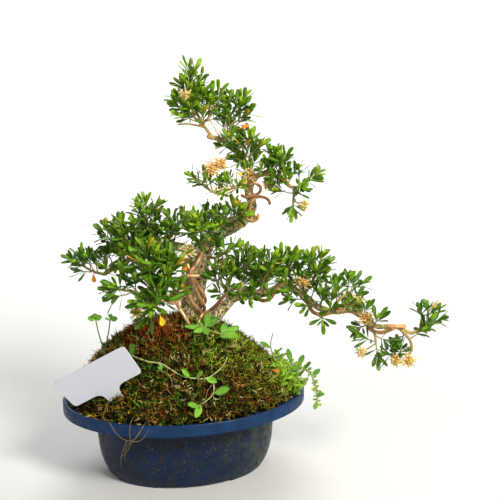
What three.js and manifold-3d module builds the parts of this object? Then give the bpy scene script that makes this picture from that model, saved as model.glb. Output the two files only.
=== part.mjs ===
// A boxwood bonsai in an oval blue plastic training pot, in millimetres.
// +Z is up, X runs along the pot's long axis, and the origin is at the centre of the pot's
// underside, level with its feet.

import * as THREE from 'three';
import { mergeVertices } from 'three/addons/utils/BufferGeometryUtils.js';
import Module from 'manifold-3d';

const wasm = await Module();
wasm.setup();

// Driving dimensions of the pot

const POT_LENGTH = 170;
const POT_WIDTH = 124;
const POT_HEIGHT = 55;
const POT_SIDES = 24;
const POT_RATIO = POT_WIDTH / POT_LENGTH;
const RIM_RADIUS = POT_LENGTH / 2;
const RIM_TOP = POT_HEIGHT;
const SKIRT_DROP = 8;
const WALL = 2;
const FLOOR_UNDERSIDE = 2;
const FLOOR_TOP = 4.5;
const BODY_TOP_RADIUS = 63;
const BODY_FOOT_RADIUS = 55;
const LEDGE_OUTER_RADIUS = 81.5;
const LEDGE_OUTER_Z = 53.6;
const LEDGE_INNER_RADIUS = 63.5;
const LEDGE_INNER_Z = 51.6;
const FOOT_NOTCH_WIDE = 52;
const FOOT_NOTCH_DEEP = 34;
const BOSS_RADIUS = 10;
const DRAIN_RADIUS = 6;
const DRAIN_OFFSET = 28;

// Clearance left between pieces that touch

const GAP = 0.35;

// Driving dimensions of the mound

const MOUND_PEAK = { x: 6, y: 7 };
const MOSS_EDGE = { x: 78, y: 55.5 };
const MOSS_EDGE_Z = 54.6;
const MOUND_TOP_Z = 106;
const MOUND_FULLNESS = 2.3;
const MOUND_LEFT_BULGE = 0.7;
const MOSS_THICKNESS = 3.4;
const MOSS_EDGE_FLOOR = 53.65;
const SOIL_EDGE_SHARE = 0.945;
const SOIL_EDGE_FLOOR = 53.1;
const MOSS_RELIEF = 0.9;

// Sizes of leaves, twigs and shoots

const LEAF_LENGTH = 11.4;
const LEAF_WIDTH = 4.2;
const LEAF_THICKNESS = 0.9;
const LEAF_KEEL = 0.55;
const LEAF_WIDEST_AT = 0.76;
const LEAF_ROOT_WIDTH = 1;
const STEM_HALF = 0.5;
const SHOOT_LENGTH = 7.4;
const SHOOT_LIFT = new THREE.Vector3(0, 0, 0.4);
const GOLDEN_ANGLE = THREE.MathUtils.degToRad(137.5);
const TWIG_ROOT = 1.15;
const TWIG_TIP = 0.7;
const TWIG_SIDES = 4;
const TWIG_STEPS = 3;
const TWIG_LEAFY_SHARE = 0.66;

// Sizes of flowers and weeds

const BLOOM_CORE = 1.9;
const STAMEN_REACH = 7.2;
const STAMEN_ROOT = 0.8;
const STAMEN_TIP = 0.4;
const STALK_RADIUS = 0.7;
const WEED_SIDES = 3;
const WEED_STEP = 6;

// Gauges of the copper wire, and how far it stands off the bark beyond the clearance

const TRUNK_WIRE_RADIUS = 1.2;
const BRANCH_WIRE_RADIUS = 1.3;
const CROWN_WIRE_RADIUS = 1.05;
const WIRE_SIDES = 4;
const WIRE_STEP = 4.9;
const WIRE_STAND_OFF = 0.35;
const WIRE_PUSH_OFF = 0.55;

// Materials, one for each kind of surface

const MATERIALS = {
  pot: new THREE.MeshStandardMaterial({ color: 0x1d4480, roughness: 0.45, metalness: 0 }),
  soil: new THREE.MeshStandardMaterial({ color: 0x2b1d12, roughness: 1, metalness: 0 }),
  moss: new THREE.MeshStandardMaterial({ color: 0x4f4a1c, roughness: 1, metalness: 0 }),
  bark: new THREE.MeshStandardMaterial({ color: 0xb9a36a, roughness: 0.9, metalness: 0 }),
  wire: new THREE.MeshStandardMaterial({ color: 0xb0744a, roughness: 0.4, metalness: 0.9 }),
  leaf: new THREE.MeshStandardMaterial({ color: 0x2f7a22, roughness: 0.5, metalness: 0 }),
  flower: new THREE.MeshStandardMaterial({ color: 0xe8d58a, roughness: 0.8, metalness: 0 }),
  weed: new THREE.MeshStandardMaterial({ color: 0x6fb52e, roughness: 0.6, metalness: 0 }),
  label: new THREE.MeshStandardMaterial({ color: 0xf2f2f4, roughness: 0.4, metalness: 0 }),
};

// Small tools

function vector([x, y, z]) {
  return new THREE.Vector3(x, y, z);
}

function seededRandom(seed) {
  let state = seed;
  return () => {
    state = (state + 0x6d2b79f5) | 0;
    let mixed = Math.imul(state ^ (state >>> 15), 1 | state);
    mixed = (mixed + Math.imul(mixed ^ (mixed >>> 7), 61 | mixed)) ^ mixed;
    return ((mixed ^ (mixed >>> 14)) >>> 0) / 4294967296;
  };
}

function toSolid(geometry) {
  geometry.deleteAttribute('normal');
  geometry.deleteAttribute('uv');
  const merged = mergeVertices(geometry, 1e-4);
  return new wasm.Manifold(new wasm.Mesh({
    numProp: 3,
    vertProperties: Float32Array.from(merged.attributes.position.array),
    triVerts: Uint32Array.from(merged.index.array),
  }));
}

function toGeometry(solid) {
  const mesh = solid.getMesh();
  const geometry = new THREE.BufferGeometry();
  geometry.setAttribute('position', new THREE.BufferAttribute(mesh.vertProperties, 3));
  geometry.setIndex(new THREE.BufferAttribute(mesh.triVerts, 1));
  geometry.computeVertexNormals();
  return geometry;
}

function joined(solids) {
  return solids.reduce((sum, solid) => sum.add(solid));
}

function boxOf(solid) {
  const { min, max } = solid.boundingBox();
  return new THREE.Box3(vector(min), vector(max));
}

function crosses(solid, others) {
  const box = boxOf(solid);
  return others.some((other) => box.intersectsBox(other.box)
    && !solid.intersect(other.solid).isEmpty());
}

function largestBody(solid) {
  const bodies = solid.decompose();
  return bodies.reduce((best, body) => (body.volume() > best.volume() ? body : best));
}

// A limb is a centre line through rows of [x, y, z, radius]

class Limb {
  constructor(rows) {
    this.radii = rows.map((row) => row[3]);
    this.curve = new THREE.CatmullRomCurve3(rows.map(vector), false, 'centripetal');
    this.length = this.curve.getLength();
  }

  pointAt(share) {
    return this.curve.getPointAt(share);
  }

  radiusAt(share) {
    const place = this.curve.getUtoTmapping(share) * (this.radii.length - 1);
    const row = Math.min(Math.floor(place), this.radii.length - 2);
    return THREE.MathUtils.lerp(this.radii[row], this.radii[row + 1], place - row);
  }

  nearest(point) {
    const samples = 48;
    let best = { distance: Infinity };
    for (let step = 0; step <= samples; step += 1) {
      const share = step / samples;
      const centre = this.pointAt(share);
      const distance = centre.distanceTo(point);
      if (distance < best.distance) {
        best = { distance, centre, share };
      }
    }
    return { ...best, radius: this.radiusAt(best.share) };
  }
}

// A closed tube of changing thickness: a cylinder bent along the limb

function limbSolid(limb, sides, steps, extra = 0) {
  const tube = new THREE.CylinderGeometry(1, 1, 1, sides, steps);
  const frames = limb.curve.computeFrenetFrames(steps, false);
  const corners = tube.attributes.position;
  for (let i = 0; i < corners.count; i += 1) {
    const step = Math.round((corners.getY(i) + 0.5) * steps);
    const share = step / steps;
    const radius = limb.radiusAt(share) + extra;
    const place = limb.pointAt(share)
      .addScaledVector(frames.normals[step], corners.getX(i) * radius)
      .addScaledVector(frames.binormals[step], -corners.getZ(i) * radius);
    if (step === 0) {
      place.addScaledVector(frames.tangents[0], -extra);
    }
    if (step === steps) {
      place.addScaledVector(frames.tangents[steps], extra);
    }
    corners.setXYZ(i, place.x, place.y, place.z);
  }
  return toSolid(tube);
}

// A round wire of constant gauge through a list of points

function wireSolid(points, radius, steps) {
  const section = new THREE.Shape();
  for (let side = 0; side < WIRE_SIDES; side += 1) {
    const angle = (side / WIRE_SIDES) * 2 * Math.PI;
    const corner = [radius * Math.cos(angle), radius * Math.sin(angle)];
    if (side === 0) {
      section.moveTo(...corner);
    } else {
      section.lineTo(...corner);
    }
  }
  const extrudePath = new THREE.CatmullRomCurve3(points, false, 'centripetal');
  return toSolid(new THREE.ExtrudeGeometry(section, { steps, extrudePath, bevelEnabled: false }));
}

// Pot: a lathed profile squeezed to an oval, with four corner feet and two drain holes

function potProfile() {
  const inner = BODY_TOP_RADIUS - WALL;
  return [
    [0, FLOOR_UNDERSIDE],
    [BODY_FOOT_RADIUS - 9, FLOOR_UNDERSIDE],
    [BODY_FOOT_RADIUS - 8.5, 0],
    [BODY_FOOT_RADIUS - 0.5, 0],
    [BODY_FOOT_RADIUS + 3, 6],
    [BODY_FOOT_RADIUS + 6, 15],
    [BODY_TOP_RADIUS - 0.5, 30],
    [BODY_TOP_RADIUS + 0.2, RIM_TOP - 7],
    [RIM_RADIUS - 1.8, RIM_TOP - 3.6],
    [RIM_RADIUS - 1.6, RIM_TOP - SKIRT_DROP],
    [RIM_RADIUS, RIM_TOP - SKIRT_DROP],
    [RIM_RADIUS, RIM_TOP - 0.7],
    [RIM_RADIUS - 0.8, RIM_TOP],
    [RIM_RADIUS - 2.4, RIM_TOP],
    [LEDGE_OUTER_RADIUS, LEDGE_OUTER_Z],
    [LEDGE_INNER_RADIUS, LEDGE_INNER_Z],
    [inner, RIM_TOP - 4.6],
    [inner - 0.5, 30],
    [BODY_FOOT_RADIUS + 4, 15],
    [BODY_FOOT_RADIUS - 2, FLOOR_TOP],
    [0, FLOOR_TOP],
  ].map(([radius, z]) => new THREE.Vector2(radius, z));
}

function boxSolid(width, depth, height, centre) {
  return toSolid(new THREE.BoxGeometry(width, depth, height).translate(...centre));
}

function postSolid(radius, sides, bottom, top, x) {
  const post = new THREE.CylinderGeometry(radius, radius, top - bottom, sides);
  return toSolid(post.rotateX(Math.PI / 2).translate(x, 0, (top + bottom) / 2));
}

function potSolid() {
  const lathe = new THREE.LatheGeometry(potProfile(), POT_SIDES);
  const shell = toSolid(lathe.rotateX(Math.PI / 2).scale(1, POT_RATIO, 1));
  const notches = [
    boxSolid(FOOT_NOTCH_WIDE, POT_LENGTH, 2 * FLOOR_UNDERSIDE, [0, 0, 0]),
    boxSolid(POT_LENGTH, FOOT_NOTCH_DEEP, 2 * FLOOR_UNDERSIDE, [0, 0, 0]),
  ];
  const boss = postSolid(BOSS_RADIUS, 16, 0, (FLOOR_UNDERSIDE + FLOOR_TOP) / 2, 0);
  const drains = [-DRAIN_OFFSET, DRAIN_OFFSET]
    .map((x) => postSolid(DRAIN_RADIUS, 12, -1, FLOOR_TOP + 1, x));
  return shell.subtract(joined(notches)).add(boss).subtract(joined(drains));
}

// Mound: soil under a mat of moss, fuller on its left flank than on its right

function moundFullness(angle) {
  return MOUND_FULLNESS - MOUND_LEFT_BULGE * Math.cos(angle);
}

function moundPoint(share, angle) {
  const edgeX = MOSS_EDGE.x * Math.cos(angle);
  const edgeY = MOSS_EDGE.y * Math.sin(angle);
  const rise = MOUND_TOP_Z - MOSS_EDGE_Z;
  return new THREE.Vector3(
    THREE.MathUtils.lerp(MOUND_PEAK.x, edgeX, share),
    THREE.MathUtils.lerp(MOUND_PEAK.y, edgeY, share),
    MOSS_EDGE_Z + rise * (1 - share ** moundFullness(angle)),
  );
}

function relief(point, share) {
  const waves = Math.sin(point.x * 0.31 + 1) * Math.cos(point.y * 0.37)
    + 0.6 * Math.sin(point.x * 0.17 + point.y * 0.23 + 2);
  return MOSS_RELIEF * waves * Math.sin(Math.PI * Math.min(share + 0.15, 1));
}

// Height of the moss at a point, found where the line from the peak through it meets the edge

function mossHeight(x, y) {
  const dx = (x - MOUND_PEAK.x) / MOSS_EDGE.x;
  const dy = (y - MOUND_PEAK.y) / MOSS_EDGE.y;
  const px = MOUND_PEAK.x / MOSS_EDGE.x;
  const py = MOUND_PEAK.y / MOSS_EDGE.y;
  const a = dx * dx + dy * dy;
  const b = 2 * (px * dx + py * dy);
  const c = px * px + py * py - 1;
  const stretch = (Math.sqrt(b * b - 4 * a * c) - b) / (2 * a);
  const share = Math.min(1 / stretch, 1);
  const place = moundPoint(share, Math.atan2(py + stretch * dy, px + stretch * dx));
  return place.z + relief(place, share);
}

// A closed solid from stacked closed rings, the first and the last ring closed by a fan

function ringStack(rings, sides) {
  const stack = new THREE.CylinderGeometry(1, 1, 1, sides, rings.length - 1);
  const corners = stack.attributes.position;
  const last = rings.length - 1;
  for (let i = 0; i < corners.count; i += 1) {
    const ring = rings[Math.round((corners.getY(i) + 0.5) * last)];
    const x = corners.getX(i);
    const z = corners.getZ(i);
    const place = x * x + z * z < 0.5 ? ring.middle : ring.at(Math.atan2(-z, x));
    corners.setXYZ(i, place.x, place.y, place.z);
  }
  return toSolid(stack);
}

function ovalRing(radius, z) {
  return {
    middle: new THREE.Vector3(0, 0, z),
    at: (angle) => new THREE.Vector3(radius * Math.cos(angle), radius * POT_RATIO * Math.sin(angle), z),
  };
}

function moundRing(share, offset, bumpy = false) {
  const centre = new THREE.Vector3(MOUND_PEAK.x, MOUND_PEAK.y, MOUND_TOP_Z + offset);
  return {
    middle: centre,
    at: (angle) => {
      const place = moundPoint(share, angle);
      place.z += offset + (bumpy ? relief(place, share) : 0);
      return place;
    },
  };
}

function mossFloorRing(share, z) {
  return {
    middle: new THREE.Vector3(MOUND_PEAK.x, MOUND_PEAK.y, z),
    at: (angle) => moundPoint(share, angle).setZ(z),
  };
}

const SOIL_SHARES = [SOIL_EDGE_SHARE, 0.78, 0.55, 0.3];
const MOSS_SHARES = [1, 0.88, 0.7, 0.5, 0.3];

function soilTopRings(extra = 0) {
  const spread = extra / MOSS_EDGE.y;
  return [
    mossFloorRing(SOIL_EDGE_SHARE + spread, SOIL_EDGE_FLOOR - extra),
    ...SOIL_SHARES.map((share) => moundRing(share + spread, extra - MOSS_THICKNESS - GAP)),
  ];
}

function soilSolid() {
  const wallRadius = BODY_TOP_RADIUS - WALL - GAP;
  const rings = [
    ovalRing(BODY_FOOT_RADIUS - 2.4, FLOOR_TOP + GAP),
    ovalRing(BODY_FOOT_RADIUS + 3.5, 15),
    ovalRing(wallRadius - 0.5, 30),
    ovalRing(wallRadius, RIM_TOP - 4.4),
    ovalRing(LEDGE_INNER_RADIUS, LEDGE_INNER_Z + GAP),
    ...soilTopRings(),
  ];
  return ringStack(rings, POT_SIDES);
}

function mossSolid() {
  const rings = [
    mossFloorRing(0.8, MOSS_EDGE_FLOOR),
    mossFloorRing(1, MOSS_EDGE_FLOOR),
    ...MOSS_SHARES.map((share) => moundRing(share, 0, true)),
  ];
  return ringStack(rings, POT_SIDES).subtract(ringStack(soilTopRings(GAP), POT_SIDES));
}

// Wood: the trunk and its branches, which grew as one piece

const TRUNK = new Limb([
  [5, 7, 88, 6],
  [6, 7, 106, 7.2],
  [7, 5, 119, 7.3],
  [10, 2, 134, 7.5],
  [12, 0, 148, 7.8],
  [15.5, -1, 158, 6.2],
  [23, 0, 166, 4.8],
  [35, -2, 171, 4.2],
  [45, -6, 179, 3.6],
  [48, -9, 187, 3.1],
  [46, -8, 196, 2.9],
  [47, -9, 203, 2.6],
  [45, -6, 212, 2.4],
  [41, -5, 221, 2.2],
  [35, -6, 226, 2.1],
  [29, -7, 231, 1.9],
  [19, -7, 234, 1.6],
]);

const LEFT_ARM = new Limb([
  [11, 1, 152, 4.2],
  [2, 4, 157, 3.2],
  [-8, 10, 158, 2.8],
  [-20, 16, 154, 2.4],
  [-31, 22, 148, 2],
  [-42, 26, 142, 1.8],
  [-52, 30, 135, 1.4],
]);

const LEFT_LOW_BRANCH = new Limb([
  [8, 1, 126, 3.6],
  [-3, -5, 127, 2.9],
  [-11, -12, 126.5, 2.4],
  [-18, -17, 128, 2],
  [-26, -20, 131, 1.5],
]);

const RIGHT_SHELF = new Limb([
  [47, -9, 200, 2.2],
  [51, -11, 207, 2],
  [58, -16, 209, 1.8],
  [65, -21, 206, 1.6],
  [71, -25, 201, 1.3],
]);

const LEFT_SHELF = new Limb([
  [46, -9, 198, 1.8],
  [39, -13, 201, 1.5],
  [31, -16, 198, 1.3],
  [24, -17, 197, 1.1],
]);

const CASCADE = new Limb([
  [7, 5, 96, 4.6],
  [12, -2, 104, 4.6],
  [20, -8, 109, 4.2],
  [26, -11, 116, 3.8],
  [34, -14, 125, 3.4],
  [44, -20, 128, 3.1],
  [56, -25, 130, 2.8],
  [66, -30, 135, 2.6],
  [80, -37, 127, 2.3],
  [86, -41, 122, 2.2],
  [96, -46, 120, 2],
  [106, -50, 121, 1.9],
  [120, -58, 112, 1.7],
  [132, -62, 112, 1.5],
  [143, -63, 107, 1.2],
]);

const WOOD = [
  { limb: TRUNK, sides: 8, steps: 27 },
  { limb: LEFT_ARM, sides: 6, steps: 11 },
  { limb: LEFT_LOW_BRANCH, sides: 6, steps: 7 },
  { limb: RIGHT_SHELF, sides: 6, steps: 6 },
  { limb: LEFT_SHELF, sides: 5, steps: 5 },
  { limb: CASCADE, sides: 7, steps: 22 },
];

function woodSolid(extra = 0) {
  return joined(WOOD.map(({ limb, sides, steps }) => limbSolid(limb, sides, steps, extra)));
}

// Wires: wound round a limb, each turn worked out, then pushed clear of the other limbs.
// Directions round a limb start at the side that faces the front of the tree.

const FRONT = new THREE.Vector3(-0.177, -0.984, 0);

function winding(limb, { from, to, turns, start, clearance, perTurn }) {
  const count = Math.ceil(Math.abs(turns) * perTurn);
  const points = [];
  for (let step = 0; step <= count; step += 1) {
    const share = THREE.MathUtils.lerp(from, to, step / count);
    const along = limb.curve.getTangentAt(share);
    const front = FRONT.clone().projectOnPlane(along).normalize();
    const right = new THREE.Vector3().crossVectors(along, front);
    const angle = start + (turns * 2 * Math.PI * step) / count;
    const reach = limb.radiusAt(share) + clearance;
    points.push(limb.pointAt(share)
      .addScaledVector(front, reach * Math.cos(angle))
      .addScaledVector(right, reach * Math.sin(angle)));
  }
  return points;
}

function pushedClear(points, clearance) {
  for (const point of points) {
    for (const { limb } of WOOD) {
      const near = limb.nearest(point);
      const needed = near.radius + clearance;
      if (near.distance < needed) {
        const away = point.clone().sub(near.centre).setLength(needed);
        point.copy(near.centre).add(away);
      }
    }
  }
  return points;
}

const TRUNK_WIRE_CLEARANCE = TRUNK_WIRE_RADIUS + GAP + WIRE_STAND_OFF;
const BRANCH_WIRE_CLEARANCE = BRANCH_WIRE_RADIUS + GAP + WIRE_STAND_OFF;
const TRUNK_COIL = { from: 0.08, to: 0.33, lead: 70, clearance: TRUNK_WIRE_CLEARANCE };

function trunkCoil(frontHeight, coil) {
  const bottom = TRUNK.pointAt(coil.from).z;
  const top = TRUNK.pointAt(coil.to).z;
  const start = (2 * Math.PI * (frontHeight - bottom)) / coil.lead;
  const turns = (bottom - top) / coil.lead;
  return winding(TRUNK, { ...coil, start, turns, perTurn: 24 });
}

const TRUNK_WIRE_A_TOP = [
  [5, -11.5, 144],
  [8, -11.5, 148],
  [11, -10.5, 152],
  [14, -9, 158],
  [19, -7, 166],
];

const LEFT_WIRE = [
  [4.5, -8.8, 103.5],
  [0, -8, 112],
  [-4, -3, 119],
  [-3.5, 5, 124],
  [4, 14, 128],
  [14, 12, 132],
  [20, 4, 137],
  [20.5, -5, 139],
  [13, -13, 141],
  [6.5, -14.5, 141.5],
  [0, -13.5, 141.5],
  [-4.5, -12, 138],
  [-7, -13.5, 133],
];

const CASCADE_WIRE_FOOT = [
  [2, -14.5, 99.2],
  [8, -11, 105],
  [14, -6.5, 110.3],
  [18.5, -3.5, 113.5],
  [23, -5.5, 118],
  [28, -8.5, 124.5],
];

const CROWN_HOOK = [
  [58, -20, 189],
  [57, -19.5, 192],
  [53, -19, 194],
  [50, -18.5, 194],
  [47, -18, 192],
  [45, -16.5, 188],
  [46, -15.5, 183],
  [50, -12, 179],
  [50, -4, 177],
  [46, -1, 180],
  [42, -3, 186],
  [39.5, -8, 190],
  [39.5, -12, 187],
  [40, -13.5, 183],
  [42.5, -15, 179.5],
  [46, -16.5, 177.5],
  [50, -17, 179],
  [51, -16, 182],
];

const CROWN_LOOP = [
  [43, -2.5, 205.5],
  [41.5, -8.5, 206],
  [43.5, -14, 204.5],
  [48, -15.5, 203.5],
  [52.5, -15.5, 200],
  [52, -15, 196.5],
  [47.5, -15, 194.5],
  [43, -14, 193.5],
  [40.5, -11, 194.5],
];

const WIRES = {
  wire_trunk_a: {
    radius: TRUNK_WIRE_RADIUS,
    points: [...trunkCoil(131.8, { ...TRUNK_COIL, to: 0.19 }), ...TRUNK_WIRE_A_TOP.map(vector)],
  },
  wire_trunk_b: { radius: TRUNK_WIRE_RADIUS, points: trunkCoil(137.5, TRUNK_COIL) },
  wire_trunk_c: { radius: TRUNK_WIRE_RADIUS, points: trunkCoil(123, TRUNK_COIL) },
  wire_left_branch: {
    radius: TRUNK_WIRE_RADIUS,
    points: [
      ...LEFT_WIRE.map(vector),
      ...winding(LEFT_LOW_BRANCH, {
        from: 0.36, to: 0.97, turns: -1.5, start: 0, clearance: TRUNK_WIRE_CLEARANCE, perTurn: 9,
      }),
    ],
  },
  wire_cascade: {
    radius: BRANCH_WIRE_RADIUS,
    points: [
      ...CASCADE_WIRE_FOOT.map(vector),
      ...winding(CASCADE, {
        from: 0.272, to: 0.96, turns: -2.81, start: -2.16, clearance: BRANCH_WIRE_CLEARANCE, perTurn: 9,
      }),
    ],
  },
  wire_crown_hook: { radius: CROWN_WIRE_RADIUS, points: CROWN_HOOK.map(vector) },
  wire_crown_loop: { radius: CROWN_WIRE_RADIUS, points: CROWN_LOOP.map(vector) },
};

function wireNode({ radius, points }, extra = 0) {
  const clear = pushedClear(points.map((point) => point.clone()), radius + GAP + WIRE_PUSH_OFF);
  clear[0].z -= extra;
  const length = new THREE.CatmullRomCurve3(clear).getLength();
  return wireSolid(clear, radius + extra, Math.round(length / WIRE_STEP));
}

// Leaves: a three-cornered blade, narrow at its root, widest near its blunt tip, with its keel
// below running out into the tip

function bladeSolid({ root, along, face, length, width, from = 0, extra = 0 }) {
  const across = new THREE.Vector3().crossVectors(face, along).normalize();
  const normal = new THREE.Vector3().crossVectors(along, across).normalize();
  const prism = new THREE.CylinderGeometry(1, 1, 1, 3, 1);
  const corners = prism.attributes.position;
  const wide = width / 2 + extra;
  const narrow = THREE.MathUtils.lerp(LEAF_ROOT_WIDTH / 2, wide, from / LEAF_WIDEST_AT);
  const top = LEAF_THICKNESS - LEAF_KEEL + extra;
  for (let i = 0; i < corners.count; i += 1) {
    const isFarEnd = corners.getY(i) > 0;
    const isMiddle = Math.hypot(corners.getX(i), corners.getZ(i)) < 0.5;
    const isKeel = !isMiddle && corners.getZ(i) > 0.25;
    const sideways = Math.sign(Math.round(corners.getX(i) * 2));
    const reach = isKeel ? length + extra : length * LEAF_WIDEST_AT;
    const place = root.clone()
      .addScaledVector(along, isFarEnd ? reach : length * from)
      .addScaledVector(across, sideways * (isFarEnd ? wide : narrow));
    if (!isMiddle) {
      place.addScaledVector(normal, isKeel ? -LEAF_KEEL - extra : top);
    }
    corners.setXYZ(i, place.x, place.y, place.z);
  }
  return toSolid(prism);
}

// Sprays: a twig, shoots set round it at the golden angle, and opposite pairs of leaves on each shoot

const SPRAYS = {
  spray_crown_top: {
    twigs: [
      [[17, -7, 234], [13, -6, 246], [9, -6, 258], [8, -5, 268]],
      [[15, -7, 240], [9, -7, 245], [4, -6, 250]],
      [[14, -6, 241], [21, -5, 247], [24, -4, 254]],
    ],
    shoots: [4, 2, 1],
  },
  spray_crown_right: { twigs: [[[31, -6, 229], [35, -8, 241], [39, -9, 250]]], shoots: [3] },
  spray_apex: { twigs: [[[45, -6, 212], [43, -12, 218], [44, -15, 224]]], shoots: [2] },
  spray_left_shelf: { twigs: [[[24, -17, 197], [18, -18, 200], [13.5, -17, 203.5]]], shoots: [3] },
  spray_right_shelf_top: { twigs: [[[64, -20, 206], [65, -22, 211], [64, -23, 216]]], shoots: [2] },
  spray_right_shelf_end: {
    twigs: [
      [[71, -25, 201], [75, -27, 201], [79, -28, 204]],
      [[73, -26, 200], [72, -30, 196], [71, -32, 193]],
    ],
    shoots: [2, 1],
  },
  spray_left_arm_tip: { twigs: [[[-52, 30, 135], [-60, 33, 137], [-67, 36, 141]]], shoots: [3] },
  spray_left_arm_outer: { twigs: [[[-37, 24, 145], [-43, 28, 154], [-46, 31, 161]]], shoots: [2] },
  spray_left_arm_peak: { twigs: [[[-20, 16, 154], [-22, 18, 166], [-22, 18, 178]]], shoots: [3] },
  spray_left_arm_front: { twigs: [[[-31, 22, 148], [-34, 13, 158], [-37, 9, 167]]], shoots: [2] },
  spray_left_arm_inner: { twigs: [[[-8, 10, 158], [-7, 7, 165], [-3, 5, 171]]], shoots: [2] },
  spray_left_arm_back: { twigs: [[[-14, 13, 156], [-18, 26, 155], [-22, 38, 152]]], shoots: [1] },
  spray_shoulder_front: { twigs: [[[15, -2, 158], [13, -13, 166], [11, -18, 173]]], shoots: [3] },
  spray_shoulder_right: { twigs: [[[29, -1, 168], [30, -11, 175], [33, -15, 180]]], shoots: [2] },
  spray_shoulder_back: { twigs: [[[22, 0, 165], [24, 16, 166], [22, 32, 168]]], shoots: [2] },
  spray_trunk_front: { twigs: [[[14, -2, 152], [22, -13, 153], [28, -20, 158]]], shoots: [2] },
  spray_left_low_tip: { twigs: [[[-26, -20, 131], [-34, -22, 135], [-41, -21, 136]]], shoots: [3] },
  spray_left_low_top: { twigs: [[[-20, -18, 129], [-23, -20, 141], [-24, -22, 153]]], shoots: [2] },
  spray_left_low_inner: { twigs: [[[-13, -13, 127], [-14, -21, 138], [-12, -25, 151]]], shoots: [2] },
  spray_left_low_face: { twigs: [[[-17, -16, 128], [-20, -28, 128], [-21, -35, 129]]], shoots: [2] },
  spray_cascade_1: { twigs: [[[30, -12, 121], [27, -19, 132], [23, -22, 141]]], shoots: [2] },
  spray_cascade_2: { twigs: [[[38, -16, 126], [40, -17, 137], [41, -16, 147]]], shoots: [3] },
  spray_cascade_3: {
    twigs: [
      [[50, -22, 129], [52, -27, 139], [55, -32, 148]],
      [[51, -24, 133], [55, -12, 136], [56, 0, 138]],
    ],
    shoots: [2, 1],
  },
  spray_cascade_4: { twigs: [[[61, -28, 133], [66, -26, 141], [71, -23, 147]]], shoots: [2] },
  spray_cascade_5: { twigs: [[[77, -36, 129], [82, -39, 139], [85, -42, 149]]], shoots: [3] },
  spray_cascade_6: { twigs: [[[94, -45, 120], [99, -46, 128], [108, -44, 133]]], shoots: [3] },
  spray_cascade_7: { twigs: [[[115, -55, 115], [117, -65, 110], [116, -72, 105]]], shoots: [3] },
  spray_cascade_under: {
    twigs: [[[135, -62.5, 111], [142, -65, 102], [142, -65, 94], [134, -65, 94]]],
    shoots: [2],
  },
  spray_cascade_tip: {
    twigs: [[[143, -63, 107], [148, -62, 108], [153, -61, 111], [156, -60, 114]]],
    shoots: [3],
  },
};

function twigLimb(points) {
  const last = points.length - 1;
  return new Limb(points.map(
    (point, i) => [...point, THREE.MathUtils.lerp(TWIG_ROOT, TWIG_TIP, i / last)],
  ));
}

function sidewaysOf(direction) {
  const isSteep = Math.abs(direction.z) > 0.9;
  const helper = new THREE.Vector3(isSteep ? 1 : 0, 0, isSteep ? 0 : 1);
  return new THREE.Vector3().crossVectors(direction, helper).normalize();
}

// A shoot is a square stem, and its leaves are drawn out of the stem's own faces in crossed pairs

const SHOOT_STATIONS = [0, 2.6, 3.8, 5.2, 6.4, SHOOT_LENGTH];

const LEAF_RANKS = [
  { segment: 1, turn: 0, lean: 72, size: 0.95 },
  { segment: 3, turn: 1, lean: 54, size: 1.05 },
  { segment: 4, turn: 0, lean: 24, size: 0.85 },
];

const BENDS = [[0, 0], [-16, 0], [0, 28], [0, -28], [14, 0], [-28, 20], [-28, -20]];

function shootPlan(twig, index, count, phase) {
  const share = 1 - (index / count) * TWIG_LEAFY_SHARE;
  const along = twig.curve.getTangentAt(share);
  const radial = sidewaysOf(along).applyAxisAngle(along, phase + index * GOLDEN_ANGLE);
  const axis = index === 0
    ? along
    : along.multiplyScalar(0.5).addScaledVector(radial, 0.8).add(SHOOT_LIFT).normalize();
  return { root: twig.pointAt(share), axis, firstSide: sidewaysOf(axis).applyAxisAngle(axis, phase) };
}

function faceOutward({ axis, firstSide }, turn) {
  return firstSide.clone().applyAxisAngle(axis, (turn * Math.PI) / 2);
}

function leafPlan(shoot, rank, side, bend, stretch) {
  const { axis, root } = shoot;
  const middle = (SHOOT_STATIONS[rank.segment] + SHOOT_STATIONS[rank.segment + 1]) / 2;
  const faceTurn = rank.turn + 2 * side;
  const bendTurn = faceTurn + bend[1] / 90;
  const outward = faceOutward(shoot, bendTurn);
  const lean = THREE.MathUtils.degToRad(rank.lean + bend[0]);
  return {
    segment: rank.segment,
    faceTurn,
    root: root.clone()
      .addScaledVector(axis, middle)
      .addScaledVector(faceOutward(shoot, faceTurn), STEM_HALF),
    along: axis.clone().multiplyScalar(Math.cos(lean)).addScaledVector(outward, Math.sin(lean)),
    face: axis.clone().multiplyScalar(Math.sin(lean)).addScaledVector(outward, -Math.cos(lean)),
    length: LEAF_LENGTH * rank.size * stretch,
    width: LEAF_WIDTH * Math.sqrt(rank.size * stretch),
  };
}

function bentClear(makePlan, others, own) {
  for (const bend of BENDS) {
    const plan = makePlan(bend);
    const clearOfOthers = !crosses(bladeSolid({ ...plan, extra: GAP }), others);
    const outerHalf = bladeSolid({ ...plan, from: 0.2 });
    if (clearOfOthers && !crosses(outerHalf, own)) {
      own.push(placedItem(outerHalf));
      return plan;
    }
  }
  return null;
}

function leafPlans(shoot, random, others, own) {
  const plans = [];
  for (const rank of LEAF_RANKS) {
    for (const side of [0, 1]) {
      const stretch = 0.85 + 0.3 * random();
      plans.push(bentClear((bend) => leafPlan(shoot, rank, side, bend, stretch), others, own));
    }
  }
  return plans.filter((plan) => plan !== null);
}

// Corners of a leaf beyond its root: left and right at its widest, then its tip

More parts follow.
